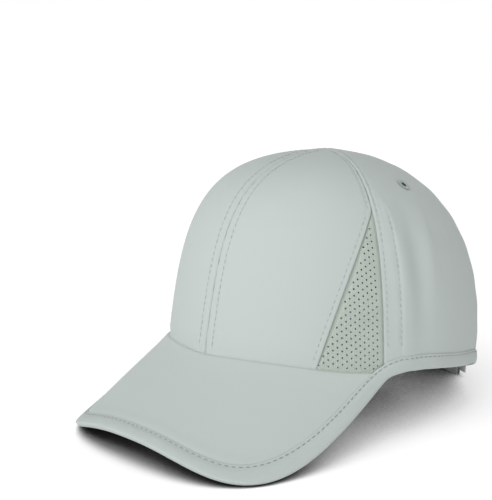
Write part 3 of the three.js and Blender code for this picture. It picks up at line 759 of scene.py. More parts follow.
class Paint:
    """A material with one surface shader."""

    def __init__(self, name, roughness, sheen=0.0):
        self.material = bpy.data.materials.new(name)
        self.material.use_nodes = True
        self.tree = self.material.node_tree
        self.shader = self.tree.nodes["Principled BSDF"]
        self.shader.inputs["Roughness"].default_value = roughness
        self.shader.inputs["Sheen Weight"].default_value = sheen
        self.shader.inputs["Sheen Roughness"].default_value = 0.5
        self.shader.inputs["Sheen Tint"].default_value = (1, 1, 1, 1)
        self.shader.inputs["Specular IOR Level"].default_value = 0.25

    def node(self, kind, settings=None, inputs=None):
        made = self.tree.nodes.new(kind)
        settings = dict(settings or {})
        stops = settings.pop("stops", None)
        for key, value in settings.items():
            setattr(made, key, value)
        if stops:
            ramp = made.color_ramp
            while len(ramp.elements) < len(stops):
                ramp.elements.new(0.5)
            for element, (position, colour) in zip(ramp.elements, stops):
                element.position = position
                element.color = colour
        for key, value in (inputs or {}).items():
            socket = made.inputs[key]
            if isinstance(value, Field):
                self.tree.links.new(value.socket, socket)
            else:
                socket.default_value = value
        return made

    def field(self, kind, settings=None, inputs=None, output=0):
        return Field(self, self.node(kind, settings, inputs).outputs[output])

    def cloth_place(self):
        """The cloth's flat coordinates, across and along, in metres."""
        flat = self.field("ShaderNodeUVMap")
        parts = self.node("ShaderNodeSeparateXYZ", inputs={"Vector": flat})
        return flat, Field(self, parts.outputs[0]), Field(self, parts.outputs[1])

    def noise(self, place, scale, detail=2.0, roughness=0.5):
        return self.field(
            "ShaderNodeTexNoise",
            {"noise_dimensions": "3D"},
            {"Vector": place, "Scale": scale, "Detail": detail, "Roughness": roughness},
        )

    def object_place(self):
        return self.field("ShaderNodeTexCoord", output=3)

    def mix(self, factor, first, second):
        made = self.node("ShaderNodeMix", {"data_type": "RGBA"}, {0: factor, 6: first, 7: second})
        return Field(self, made.outputs[2])

    def colour(self, value):
        if isinstance(value, Field):
            self.tree.links.new(value.socket, self.shader.inputs["Base Color"])
        else:
            self.shader.inputs["Base Color"].default_value = value

    def relief(self, height, depth):
        """Bumps of a depth in metres."""
        made = self.node("ShaderNodeBump", None, {"Height": height, "Distance": depth, "Strength": 1.0})
        self.tree.links.new(made.outputs["Normal"], self.shader.inputs["Normal"])


def scaled(colour, factor):
    return tuple(c * factor for c in colour[:3]) + (1.0,)


def woven_paint(name, colour, pitch, sheen=0.12):
    """Plain cloth: two sets of threads crossing, faint mottling and a little fuzz."""
    spread = 0.03
    paint = Paint(name, 0.85, sheen)
    flat, across, along = paint.cloth_place()
    base = tuple(colour)
    mottled = paint.noise(paint.object_place(), 38.0, 3.0)
    fuzz = paint.noise(flat, 1 / pitch * 0.9, 2.0, 0.6)
    warp = (across * (2 * math.pi / pitch)).sine()
    weft = (along * (2 * math.pi / pitch)).sine()
    height = warp * weft * 0.35 + fuzz
    shade = (mottled - 0.5) * (2 * spread) + (fuzz - 0.5) * spread + warp * weft * 0.012 + 0.5
    paint.colour(paint.mix(shade, scaled(base, 0.94), scaled(base, 1.06)))
    paint.relief(height, 0.00003)
    return paint.material


def ribbed_paint(name, colour, pitch):
    """Woven tape with fine ribs across it."""
    paint = Paint(name, 0.8, 0.1)
    _, across, along = paint.cloth_place()
    base = tuple(colour)
    ribs = (along * (2 * math.pi / pitch)).sine()
    threads = (across * (2 * math.pi / (pitch * 1.3))).sine()
    mottled = paint.noise(paint.object_place(), 60.0, 3.0)
    shade = (mottled - 0.5) * 0.5 + ribs * 0.08 + threads * 0.04 + 0.5
    paint.colour(paint.mix(shade, scaled(base, 0.94), scaled(base, 1.05)))
    paint.relief(ribs * 0.5 + threads * 0.3, 0.00005)
    return paint.material


def thread_paint(name, colour):
    """Twisted thread."""
    paint = Paint(name, 0.7, 0.1)
    _, across, along = paint.cloth_place()
    twist = ((across * 1.0 + along * 0.8) * (2 * math.pi / 0.00045)).sine()
    base = tuple(colour)
    paint.colour(paint.mix(twist * 0.3 + 0.5, scaled(base, 0.9), scaled(base, 1.08)))
    paint.relief(twist, 0.00004)
    return paint.material


def knit_paint(name, colour, pitch, depth):
    """A knit: columns of loops."""
    paint = Paint(name, 0.9, 0.15)
    _, across, along = paint.cloth_place()
    base = tuple(colour)
    columns = (across * (2 * math.pi / pitch)).sine()
    loops = ((along + columns.absolute() * (pitch * 0.4)) * (2 * math.pi / (pitch * 0.8))).sine()
    mottled = paint.noise(paint.object_place(), 90.0, 3.0)
    shade = (mottled - 0.5) * 0.6 + columns * 0.12 + loops * 0.08 + 0.5
    paint.colour(paint.mix(shade, scaled(base, 0.88), scaled(base, 1.08)))
    paint.relief(columns * 0.5 + loops * 0.4, depth)
    return paint.material


def loop_paint(name, colour):
    """The furry face of hook-and-loop tape."""
    paint = Paint(name, 0.95, 0.3)
    flat, _, _ = paint.cloth_place()
    base = tuple(colour)
    curls = paint.noise(flat, 1800.0, 4.0, 0.7)
    paint.colour(paint.mix(curls, scaled(base, 0.6), scaled(base, 1.1)))
    paint.relief(curls, 0.0003)
    return paint.material


def label_paint(name, colour, stripe):
    """Ribbon with two plain woven stripes."""
    paint = Paint(name, 0.55, 0.1)
    _, across, along = paint.cloth_place()
    base = tuple(colour)
    ribs = (along * (2 * math.pi / 0.0005)).sine()
    near_middle = (across - 0.0045).absolute()
    striped = near_middle.above(0.0014) * near_middle.below(0.0023)
    dashed = ((along / 0.0026).fraction() - 0.5).absolute().below(0.33)
    ends = (along - 0.011).absolute().below(0.0078)
    paint.colour(paint.mix(striped * dashed * ends, base, tuple(stripe)))
    paint.relief(ribs, 0.00004)
    return paint.material


def paint_slots(obj, *names):
    obj.data.materials.clear()
    for name in names:
        obj.data.materials.append(PAINTS[name])


PAINTS = {}


# Settings of the add-on


class CapCloth(bpy.types.PropertyGroup):
    colour: bpy.props.FloatVectorProperty(
        name="Cloth",
        description="Colour of the panels and the peak",
        subtype="COLOR",
        default=(0.415, 0.46, 0.44),
    )
    mesh_colour: bpy.props.FloatVectorProperty(
        name="Insert",
        description="Colour of the pierced inserts",
        subtype="COLOR",
        default=(0.39, 0.44, 0.395),
    )
    trim_colour: bpy.props.FloatVectorProperty(
        name="Binding",
        description="Colour of the bindings",
        subtype="COLOR",
        default=(0.41, 0.455, 0.436),
    )
    inner_colour: bpy.props.FloatVectorProperty(
        name="Inside",
        description="Colour of the panels' inner face",
        subtype="COLOR",
        default=(0.03, 0.038, 0.035),
    )
    sweatband_colour: bpy.props.FloatVectorProperty(
        name="Sweatband",
        description="Colour of the sweatband",
        subtype="COLOR",
        default=(0.27, 0.28, 0.275),
    )
    thickness: bpy.props.FloatProperty(
        name="Thickness", description="Thickness of the panels, in millimetres", default=0.9, min=0.4, max=1.2
    )
    weave: bpy.props.FloatProperty(
        name="Weave", description="Distance between threads", default=0.0005, unit="LENGTH"
    )


class CapThread(bpy.types.PropertyGroup):
    # The thread itself is tone on tone with the cloth; this darker colour is painted shade of the dips and
    # needle holes along a row.
    colour: bpy.props.FloatVectorProperty(
        name="Thread",
        description="Colour of the stitches",
        subtype="COLOR",
        default=(0.25, 0.28, 0.265),
    )
    faint_colour: bpy.props.FloatVectorProperty(
        name="Faint thread",
        description="Colour of rows that hardly show",
        subtype="COLOR",
        default=(0.365, 0.41, 0.39),
    )
    pitch: bpy.props.FloatProperty(
        name="Pitch", description="From one stitch to the next, in millimetres", default=3.3, min=1.5, max=6
    )
    length: bpy.props.FloatProperty(
        name="Length", description="Length of a stitch, in millimetres", default=2.3, min=1, max=5
    )
    width: bpy.props.FloatProperty(
        name="Width", description="Width of a stitch, in millimetres", default=0.5, min=0.2, max=1
    )


class CapStage(bpy.types.PropertyGroup):
    floor: bpy.props.FloatProperty(
        name="Floor", description="Half width of the floor", default=6.0, unit="LENGTH"
    )
    key: bpy.props.FloatProperty(
        name="Key",
        description="Strength of the high light in front",
        default=1.95,
    )
    fill: bpy.props.FloatProperty(
        name="Fill",
        description="Strength of the low light beside it",
        default=0.8,
    )
    backdrop: bpy.props.FloatProperty(
        name="Backdrop",
        description="Strength of the white wall all round",
        default=1.0,
    )
    ceiling: bpy.props.FloatProperty(
        name="Ceiling",
        description="Strength of what is above the wall",
        default=0.18,
    )
    # The floor's glow is painted light, which fades into a painted shadow under the cap.
    glow: bpy.props.FloatProperty(
        name="Glow",
        description="Light that the white floor gives off",
        default=0.65,
    )


class CapSettings(bpy.types.PropertyGroup):
    cloth: bpy.props.PointerProperty(type=CapCloth)
    thread: bpy.props.PointerProperty(type=CapThread)
    stage: bpy.props.PointerProperty(type=CapStage)


def settings():
    return bpy.context.scene.cap


def mix_paints():
    """Makes the materials once."""
    if PAINTS:
        return
    cloth = settings().cloth
    thread = settings().thread
    PAINTS["cloth"] = woven_paint("cloth", cloth.colour, cloth.weave)
    PAINTS["lining"] = woven_paint("lining", cloth.inner_colour, 0.0007, sheen=0.0)
    PAINTS["mesh"] = knit_paint("mesh", cloth.mesh_colour, 0.0009, 0.00008)
    PAINTS["trim"] = ribbed_paint("trim", cloth.trim_colour, 0.0006)
    PAINTS["inside"] = knit_paint("inside", cloth.sweatband_colour, 0.0008, 0.00006)
    PAINTS["hook"] = loop_paint("hook_and_loop", (0.3, 0.33, 0.31))
    PAINTS["label"] = label_paint("label", (0.6, 0.55, 0.57, 1), (0.42, 0.07, 0.15, 1))
    # The dark thread colour is partly painted shade of the stitches' dips.
    PAINTS["thread"] = thread_paint("thread", thread.colour)
    PAINTS["faint_thread"] = thread_paint("faint_thread", thread.faint_colour)


# Stitches


def thread_stitch():
    """One stitch: a short bar of thread with sunk ends, lying along X with +Z off the cloth."""
    deselect()
    bpy.ops.mesh.primitive_cylinder_add(
        vertices=6, radius=0.5, depth=1, end_fill_type="NGON", rotation=(0, math.pi / 2, 0)
    )
    stitch = bpy.context.active_object
    bpy.ops.object.transform_apply(location=False, rotation=True, scale=False)
    edit(stitch, lambda: bpy.ops.mesh.subdivide(number_cuts=3, smoothness=0))
    at = coordinates(stitch)
    reach = np.abs(at[:, 0]) / 0.5
    taper = np.sqrt(np.maximum(1 - reach**4 * 0.75, 0.0))
    at[:, 1] *= taper
    at[:, 2] = at[:, 2] * taper - 0.55 * reach**3
    place(stitch, at)
    return stitch


def stitch_shape():
    """The stitch's corners and faces, kept so that copies cost little."""
    if "shape" not in STITCH:
        stitch = thread_stitch()
        STITCH["shape"] = coordinates(stitch), [list(p.vertices) for p in stitch.data.polygons]
        bpy.data.objects.remove(stitch)
    return STITCH["shape"]


STITCH = {}


def values_along(wanted, run, values):
    """Places or ways at wanted lengths along a line."""
    return np.stack([np.interp(wanted, run, values[:, k]) for k in range(3)], -1)


def stitch_row(points, normals, pitch=None, length=None, width=None):
    """Places for stitches along a line: middle, way along, way off the cloth, and size of each."""
    thread = settings().thread
    pitch = pitch or thread.pitch
    length = length or thread.length
    width = width or thread.width
    run = run_along(points)
    middle = np.arange(0.5 * pitch, run[-1] - 0.4 * pitch, pitch)
    along = values_along(middle + length / 2, run, points) - values_along(middle - length / 2, run, points)
    along /= np.linalg.norm(along, axis=-1, keepdims=True)
    off = values_along(middle, run, normals)
    off -= along * (off * along).sum(-1, keepdims=True)
    off /= np.linalg.norm(off, axis=-1, keepdims=True)
    centre = values_along(middle, run, points)
    return [(centre[i], along[i], off[i], length, width) for i in range(len(middle))]


def sew(name, stitches, paint="thread"):
    """One mesh of all the stitches of a seam, each a copy of the one stitch."""
    corners, faces = stitch_shape()
    points = []
    polygons = []
    flat = []
    for i, (centre, along, off, length, width) in enumerate(stitches):
        beside = np.cross(off, along)
        scaled_corners = corners * [length, width, width * 0.75]
        placed = centre + np.outer(scaled_corners[:, 0], along)
        placed = placed + np.outer(scaled_corners[:, 1], beside) + np.outer(scaled_corners[:, 2], off)
        points.append(placed)
        flat.append(scaled_corners[:, :2] / 1000)
        polygons.extend([[v + i * len(corners) for v in face] for face in faces])
    mesh = bpy.data.meshes.new(name)
    mesh.from_pydata(to_row(np.concatenate(points)).tolist(), [], polygons)
    obj = bpy.data.objects.new(name, mesh)
    bpy.context.scene.collection.objects.link(obj)
    set_uv(obj, np.concatenate(flat))
    paint_slots(obj, paint)
    smooth(obj, 60)
    return obj


def crown_line(side, angle, rise, out):
    """Points and normals of a line on the crown."""
    _, _, normal = frame_at(side, angle, np.clip(rise, 0.01, 0.98))
    return skin(side, angle, rise, out), normal


def beside_seam(side, seam, rise, distance, out):
    """A line on the crown so far from a seam, which gives an angle for each rise."""
    up, around, _ = frame_at(side, seam(rise), np.clip(rise, 0.01, 0.997))
    slope = np.gradient(seam(rise), rise)
    direction = up + around * slope[:, None]
    lean = np.linalg.norm(np.cross(direction, around), axis=-1) / np.linalg.norm(direction, axis=-1)
    return crown_line(side, seam(rise) + distance / lean, rise, out)


# Crown panels


def seam_relief(distance, stitched, depth=0.6):
    """How cloth lies beside a seam: it dips sharply into it, swells a little and dips under its stitches."""
    lift = -depth * bump(distance, 0.5)
    if stitched:
        lift = lift + 0.1 * bump(distance - stitched * 0.5, stitched * 0.32)
        lift = lift - 0.2 * bump(distance - stitched, 0.55) + 0.06 * bump(distance - stitched - 1.7, 1.1)
    return lift


def puckers(distance, run, seed):
    """Small gathers that a stitched seam pulls into the cloth."""
    wave = np.sin(run * 0.93 + seed)
    wave = wave + 0.7 * np.sin(run * 0.41 + 2.1 * seed)
    wave = wave + 0.5 * np.sin(run * 1.7 + 0.7 * seed)
    return 0.06 * wave * bump(distance, 6.5)


def gathers(distance, run):
    """Short folds across the strip beside the net, between its two rows of stitches."""
    wave = np.sin(run * 1.9) * np.sin(run * 0.37 + 0.6) + 0.5 * np.sin(run * 3.1 + 1.2)
    return 0.13 * wave * bump(distance - 5.5, 3.2)


def bottom_rise(side, angle, rise, foot_distance):
    """A rise moved up so that the panel's lower edge is so far from the hem."""
    return rise + rise_for(side, angle, foot_distance) * (1 - rise) ** 4


def crown_panel(name, side, rises, shares, start, end, relief, foot_distance):
    """A panel of the crown between two edges, which give an angle for each rise."""
    low = start(rises)
    high = end(rises)
    angle = low[:, None] * (1 - shares) + high[:, None] * shares
    rise = np.repeat(rises[:, None], len(shares), axis=1)
    down = foot_distance(angle) if callable(foot_distance) else foot_distance
    rise = bottom_rise(side, angle, rise, down)
    up, around, _ = frame_at(side, angle, np.clip(rise, 0.01, 0.997))
    across = np.linalg.norm(around, axis=-1)
    from_start = (angle - low[:, None]) * across
    from_end = (high[:, None] - angle) * across
    along = np.cumsum(np.linalg.norm(up, axis=-1) * np.gradient(rises)[:, None], axis=0)
    lift = relief(angle, rise, from_start, from_end, along)
    points = skin(side, angle, rise, lift)
    flat = np.stack([(angle - SIDE_SEAM_ANGLE) * across, along], -1) / 1000
    obj = sheet_of(name, points, flat)
    middle = points[len(rises) // 2, len(shares) // 2]
    face_out(obj, (middle[0], middle[1], middle[2] * 0.3))
    paint_slots(obj, "cloth", "lining")
    thicken(obj, settings().cloth.thickness, inner_slot=1)
    smooth(obj)
    return obj


def crown_rises(top, count):
    share = np.linspace(0, 1, count)
    return top * (1 - (1 - share) ** 1.12)


def over_crown_foot(angle):
    """How far a panel's lower edge is from the hem: behind the peak in front, short of the fold elsewhere."""
    return -1.6 + 3.0 * smoothstep(angle, 55, 62)



def front_relief(side):
    def relief(angle, rise, from_start, from_end, along):
        lift = seam_relief(from_start, CENTRE_ROW) + puckers(from_start, along, 0.4 + side)
        above = smoothstep(rise, INSERT_RISE - 0.03, INSERT_RISE + 0.01)
        folded = -0.12 * bump(from_end, 0.3) - 0.06 * bump(from_end - EDGE_ROW, 0.6)
        lift = lift + folded * (1 - above) + seam_relief(from_end, EDGE_ROW) * above
        lift = lift + puckers(from_end, along, 1.7)
        lift = lift - 0.5 * bump((rise - 0.004) * 150, 1.0)
        return lift - apex_sink(rise)

    return relief


def apex_sink(rise):
    """The seams meet in a small flat knot at the top."""
    return -0.5 * smoothstep(rise, 0.93, 0.985)


def back_relief(side):
    def relief(angle, rise, from_start, from_end, along):
        above = smoothstep(rise, INSERT_RISE - 0.05, INSERT_RISE)
        lift = seam_relief(from_start, SIDE_ROW) * (0.35 + 0.65 * above) + puckers(from_start, along, 2.9)
        lift = lift + gathers(from_start, along) * (1 - above)
        row = (angle - PUCKERED_ROW_ANGLE) * 1.45
        shown = smoothstep(rise, 0.02, 0.06) * (1 - smoothstep(rise, 0.42, 0.47))
        lift = lift + shown * (-0.22 * bump(row, 0.9) + 0.1 * bump(row - 2.6, 1.6))
        over = smoothstep(rise, OPENING_TOP_RISE, OPENING_TOP_RISE + 0.03)
        lift = lift + over * (seam_relief(from_end, BACK_ROW) + puckers(from_end, along, 5.1))
        free = 1 - over
        lift = lift + free * (-0.15 * bump(from_end - 7.2, 1.2) + 0.2 * bump(from_end - 9.6, 2.2))
        wave = np.sin(along * 0.34 + angle * 0.06) * np.sin(angle * 0.21 + 0.4 * side) * 0.12
        return lift + wave * smoothstep(from_start, 2, 12) - apex_sink(rise)

    return relief


def front_start(rise):
    return degrees_for(LEFT, np.zeros_like(rise), rise, CENTRE_GAP)


def front_end(rise):
    return insert_edge(rise) - degrees_for(LEFT, insert_edge(rise), rise, SIDE_GAP)


def back_start(rise):
    return SIDE_SEAM_ANGLE + degrees_for(LEFT, np.full_like(rise, SIDE_SEAM_ANGLE), rise, SIDE_GAP)


def back_end(side):
    def end(rise):
        centre_back = np.full_like(rise, 180.0)
        lifted = bottom_rise(side, centre_back, rise, 1.4)
        return cloth_edge_angle(lifted, 1.3) - degrees_for(side, centre_back, lifted, CENTRE_GAP)

    return end


class CAP_OT_front_panels(bpy.types.Operator):
    """Cuts the two front panels"""

    bl_idname = "cap.front_panels"
    bl_label = "Front panels"

    def execute(self, context):
        shares = steps_between(58, 0.45, 2.2, 6)
        rises = crown_rises(TOP_RISE, 110)
        for name, side in (("left", LEFT), ("right", RIGHT)):
            obj = crown_panel(
                f"front_panel_{name}_cloth",
                side,
                rises,
                shares,
                front_start,
                front_end,
                front_relief(side),
                over_crown_foot,
            )
            finish_piece(obj, [f"front_panel_{name}"])
        return {"FINISHED"}


class CAP_OT_back_panels(bpy.types.Operator):
    """Cuts the two back panels, with the teardrop between them"""

    bl_idname = "cap.back_panels"
    bl_label = "Back panels"

    def execute(self, context):
        shares = steps_between(150, 0.5, 2.4, 9)
        rises = np.unique(np.concatenate([crown_rises(TOP_RISE, 120), np.linspace(0.64, 0.7, 16)]))
        for name, side in (("left", LEFT), ("right", RIGHT)):
            obj = crown_panel(
                f"back_panel_{name}_cloth",
                side,
                rises,
                shares,
                back_start,
                back_end(side),
                back_relief(side),
                over_crown_foot,
            )
            finish_piece(obj, [f"back_panel_{name}"])
        return {"FINISHED"}


class CAP_OT_mesh_inserts(bpy.types.Operator):
    """Pierces and sets the two side inserts"""

    bl_idname = "cap.mesh_inserts"
    bl_label = "Mesh inserts"

    def execute(self, context):
        for name, side in (("left", LEFT), ("right", RIGHT)):
            finish_piece(pierced_insert(f"mesh_insert_{name}_cloth", side), [f"mesh_insert_{name}"])
        return {"FINISHED"}


def insert_width(height):
    """How wide the insert is, from the side seam, at a height up it in millimetres."""
    rise = np.interp(height, INSERT_RUN, INSERT_RISES)
    _, around, _ = frame_at(LEFT, np.full_like(rise, NET_ANGLE), np.clip(rise, 0.01, 0.9))
    return (SIDE_SEAM_ANGLE - insert_edge(rise)) * np.linalg.norm(around, axis=-1)


INSERT_RISES = np.linspace(-0.03, INSERT_RISE + 0.03, 80)
INSERT_RUN = run_along(bare_skin(LEFT, np.full_like(INSERT_RISES, NET_ANGLE), INSERT_RISES))
INSERT_RUN = INSERT_RUN - np.interp(0, INSERT_RISES, INSERT_RUN)


def pierced_insert(name, side):
    """A net of cells set on their corners, each with a round hole, trimmed and laid on the crown."""
    square = math.sqrt(2) * NET_COLUMN
    deselect()
    bpy.ops.mesh.primitive_grid_add(
        x_subdivisions=NET_CELLS,
        y_subdivisions=NET_CELLS,
        size=square * NET_CELLS,
        rotation=(0, 0, math.pi / 4),
    )
    obj = bpy.context.active_object
    obj.name = name
    obj.data.name = name
    bpy.ops.object.transform_apply(location=False, rotation=True, scale=False)
    at = coordinates(obj)
    at[:, 1] *= NET_ROW / (2 * NET_COLUMN)
    place(obj, at + [5 * NET_COLUMN + 1.1, 8 * NET_ROW + 1.4, 0])
    top = float(np.interp(INSERT_RISE, INSERT_RISES, INSERT_RUN))
    wide = float(insert_width(np.array([0.0]))[0])
    slant = math.hypot(top, wide)

    def inside_edge(across, up):
        return (wide - across) * top / slant - up * wide / slant

    def trim(point, normal):
        bpy.ops.mesh.select_all(action="SELECT")
        bpy.ops.mesh.bisect(plane_co=point, plane_no=normal, clear_outer=True, clear_inner=False)

    select_only(obj)
    bpy.ops.object.mode_set(mode="EDIT")
    trim((-NET_UNDER_SIDE, 0, 0), (-1, 0, 0))
    trim((0, -NET_UNDER_PEAK, 0), (0, -1, 0))
    trim((0, top + NET_UNDER_POINT, 0), (0, 1, 0))
    trim((wide + NET_UNDER_FRONT, 0, 0), Vector((top, wide, 0)).normalized())
    bpy.ops.mesh.select_all(action="DESELECT")
    bpy.ops.object.mode_set(mode="OBJECT")
    at = coordinates(obj)
    for polygon in obj.data.polygons:
        middle = np.mean([at[v] for v in polygon.vertices], axis=0)
        polygon.select = bool(
            len(polygon.vertices) == 4
            and polygon.area > 0.97 * NET_COLUMN * NET_ROW
            and middle[0] > 0.9
            and middle[1] > 0.9
            and inside_edge(middle[0], middle[1]) > 0.7
        )
    bpy.ops.object.mode_set(mode="EDIT")
    bpy.context.tool_settings.mesh_select_mode = (False, False, True)
    bpy.ops.mesh.inset(thickness=NET_COLUMN / 4, use_individual=True)
    bpy.ops.object.mode_set(mode="OBJECT")
    round_holes(obj)
    bpy.ops.object.mode_set(mode="EDIT")
    bpy.ops.mesh.delete(type="FACE")
    bpy.ops.mesh.select_all(action="SELECT")
    bpy.ops.object.mode_set(mode="OBJECT")
    apply_modifier(obj, "SUBSURF", levels=2, render_levels=2, boundary_smooth="PRESERVE_CORNERS")
    flat = coordinates(obj)
    rise = np.interp(flat[:, 1], INSERT_RUN, INSERT_RISES)
    _, around, _ = frame_at(side, np.full_like(rise, NET_ANGLE), np.clip(rise, 0.01, 0.9))
    angle = SIDE_SEAM_ANGLE - flat[:, 0] / np.linalg.norm(around, axis=-1)
    from_edge = inside_edge(flat[:, 0], flat[:, 1])
    tuck = np.clip(bump(np.maximum(from_edge, 0), 0.8) + 0.7 * bump(np.maximum(flat[:, 0], 0), 0.6), 0, 1)
    swell = 0.5 * bump(flat[:, 0] - 9, 7) * (bump(flat[:, 1] - 31, 6) - bump(flat[:, 1] - 20, 7))
    place(obj, to_row(skin(side, angle, rise, swell - NET_DEPTH - NET_TUCK * tuck)))
    set_uv(obj, flat[:, :2] / 1000)
    face_out(obj, (side * 70, -60, 20))
    paint_slots(obj, "mesh", "mesh")
    thicken(obj, 0.45, inner_slot=1)
    smooth(obj, 50)
    return obj


def round_holes(obj):
    """Sets the corners of each chosen face at one distance from its middle, so that subdividing rounds it."""
    at = coordinates(obj)
    reach = NET_HOLE / 0.66
    for polygon in obj.data.polygons:
        if not polygon.select:
            continue
        corners = list(polygon.vertices)
        middle = at[corners].mean(0)
        ways = at[corners] - middle
        at[corners] = middle + ways / np.linalg.norm(ways, axis=-1, keepdims=True) * reach
    place(obj, at)


# The peak


def peak_grid(inset, rows, columns, inner_room):
    """Points and normals of the peak's face, from the crown out to its edge, one side after the other."""
    edge_share = np.linspace(0, 1, 400)
    edge = peak_edge(edge_share)
    horn = edge_share[np.argmax(edge["width"] > inset + 1.2)]
    share = np.linspace(-1, 1, columns)
    station = peak_edge(1 + (horn - 1) * np.abs(share) ** 0.9)
    rim, _ = over_peak(station, inset)
    horn_angle = float(station["angle"][-1])
    angle = horn_angle * np.abs(share)
    wall = skin(LEFT, angle, np.zeros(columns), inner_room, creased=False)
    out = np.linspace(0, 1, rows)[:, None]
    x = wall[:, 0] * (1 - out) + rim[:, 0] * out
    y = wall[:, 1] * (1 - out) + rim[:, 1] * out
    point, normal = on_face(PEAK_SLOPE, x, y)
    mirror = np.where(share < 0, -1.0, 1.0)
    point[..., 0] *= mirror
    normal[..., 0] *= mirror
    from_wall = np.linalg.norm(point - point[:1], axis=-1)
    from_rim = np.linalg.norm(point - point[-1:], axis=-1)
    return point, normal, from_wall, from_rim


class CAP_OT_peak(bpy.types.Operator):
    """Shapes the padded peak"""

    bl_idname = "cap.peak"
    bl_label = "Peak"

    def execute(self, context):
        point, normal, from_wall, from_rim = peak_grid(inset=1.0, rows=60, columns=141, inner_room=0.25)
        relief = -0.9 * bump(from_wall, 0.55) + 0.12 * bump(from_wall - 2.2, 1.6)
        relief = relief + 0.25 * bump(from_rim - 9.5, 2.6) - 0.1 * bump(from_rim - 6.6, 1.2)
        soft = np.sin(point[..., 0] * 0.045 + 0.8) * np.sin(point[..., 1] * 0.07) * 0.25
        relief = relief + soft * smoothstep(from_rim, 3, 16) * smoothstep(from_wall, 1, 12)
        top = point + normal * relief[..., None]
        flat = np.stack([point[..., 0], -point[..., 1]], -1) / 1000
        obj = sheet_of("peak_cloth", top, flat)
        face_out(obj, (0, -0.3, 1))
        paint_slots(obj, "cloth", "cloth")
        thicken(obj, 1.9, inner_slot=1)
        smooth(obj)
        finish_piece(obj, ["peak"])
        return {"FINISHED"}


# Bindings

# The section of a folded tape: distance in from the edge, and how far off the cloth, on the outer side
TAPE_OVER = [
    (0.0, 0.45),
    (0.25, 0.8),
    (0.8, 1.02),
    (1.8, 1.12),
    (3.2, 1.16),
    (4.6, 1.08),
    (5.6, 0.9),
    (6.3, 0.62),
]
TAPE_END = [(6.7, 0.58), (7.1, 0.66), (7.6, 0.62), (7.9, 0.4), (8.0, 0.12)]
# Columns of a tape's stations: where its length is measured, and where the two kinds of stitches lie
TAPE_LENGTH_COLUMN = 7
OPENING_STITCH_COLUMN = 12
HEM_STITCH_COLUMN = 13


def tape_stations(place_at, depth, under=5.0):
    """Rows of points across a folded tape, from its hidden inner edge round the fold to its outer edge."""
    rows = []
    run = []
    last = None
    inner = [
        (under, -depth - 0.1),
        (under * 0.6, -depth - 0.22),
        (1.2, -depth - 0.25),
        (0.3, -depth - 0.1),
        (0.0, -depth * 0.5),
    ]
    for distance, lift in [*inner, *TAPE_OVER, *TAPE_END]:
        point, normal = place_at(distance)
        lift = np.broadcast_to(np.asarray(lift, float), (len(point),))
        placed = point + normal * lift[:, None]
        step = 0 if last is None else np.linalg.norm(placed - last, axis=-1).mean()
        run.append((run[-1] if run else 0) + step)
        rows.append(placed)
        last = placed
    return np.stack(rows, 1), np.array(run)


def tape(name, stations, across):
    """A folded tape from its stations."""
    along = run_along(stations[:, TAPE_LENGTH_COLUMN])
    flat = np.stack(np.meshgrid(across, along), -1) / 1000
    obj = sheet_of(name, stations, flat)
    paint_slots(obj, "trim")
    return obj, flat


def hem_places(side, angle):
    def at(distance):
        rise = rise_for(side, angle, distance)
        _, _, normal = frame_at(side, angle, np.clip(rise, 0.01, 0.98))
        return skin(side, angle, rise, creased=False), normal

    return at


def mirrored(rows):
    return rows * [-1, 1, 1]


def edge_tape_stations():
    """All the way round: outer tab's end, right hem, the peak's edge, left hem, inner tab's end."""
    behind = np.linspace(TAB_END_ANGLE, PEAK_END_ANGLE, 150)[:-1]
    depth = np.interp(behind, [PEAK_END_ANGLE, PEAK_END_ANGLE + 8], [1.2, 0.9])
    right, across = tape_stations(hem_places(RIGHT, behind), depth)
    left, _ = tape_stations(hem_places(LEFT, behind), depth)
    edge = peak_edge(np.linspace(0, 1, 110))
    depth = 0.9 + 1.1 * smoothstep(edge["width"], 0, BAND_WIDTH / 2)
    side, _ = tape_stations(lambda distance: over_peak(edge, distance), depth)
    stations = np.concatenate([right, mirrored(side), side[:-1][::-1], left[::-1]])
    stations[..., 2] = np.maximum(stations[..., 2], 0.02)
    return stations, across


class CAP_OT_edge_binding(bpy.types.Operator):
    """Folds the binding round the hem and the peak's edge"""

    bl_idname = "cap.edge_binding"
    bl_label = "Edge binding"

    def execute(self, context):
        stations, across = edge_tape_stations()
        obj, flat = tape("edge_binding_tape", stations, across)
        tape_wall(obj, stations, len(stations) // 2, (0, -1, 0.6))
        finish_piece(obj, ["edge_binding"])
        return {"FINISHED"}


def tape_wall(obj, stations, row, outward):
    """Turns a tape's faces out, by the look of its outer side at one station, and gives it its thickness."""
    probe = to_row(stations[row, OPENING_STITCH_COLUMN])
    nearest = min(obj.data.polygons, key=lambda p: (Vector(p.center) - Vector(probe)).length)
    if Vector(nearest.normal).dot(Vector(outward)) < 0:
        edit(obj, bpy.ops.mesh.flip_normals)
    thicken(obj, 0.3, even=False)
    smooth(obj, 50)


def opening_places(side, angle, rise, inward, stretch):
    def at(distance):
        found_angle, found_rise = walk(side, angle, rise, inward, distance * stretch)
        _, _, normal = frame_at(side, found_angle, np.clip(found_rise, 0.01, 0.98))
        return skin(side, found_angle, found_rise, creased=False), normal

    return at


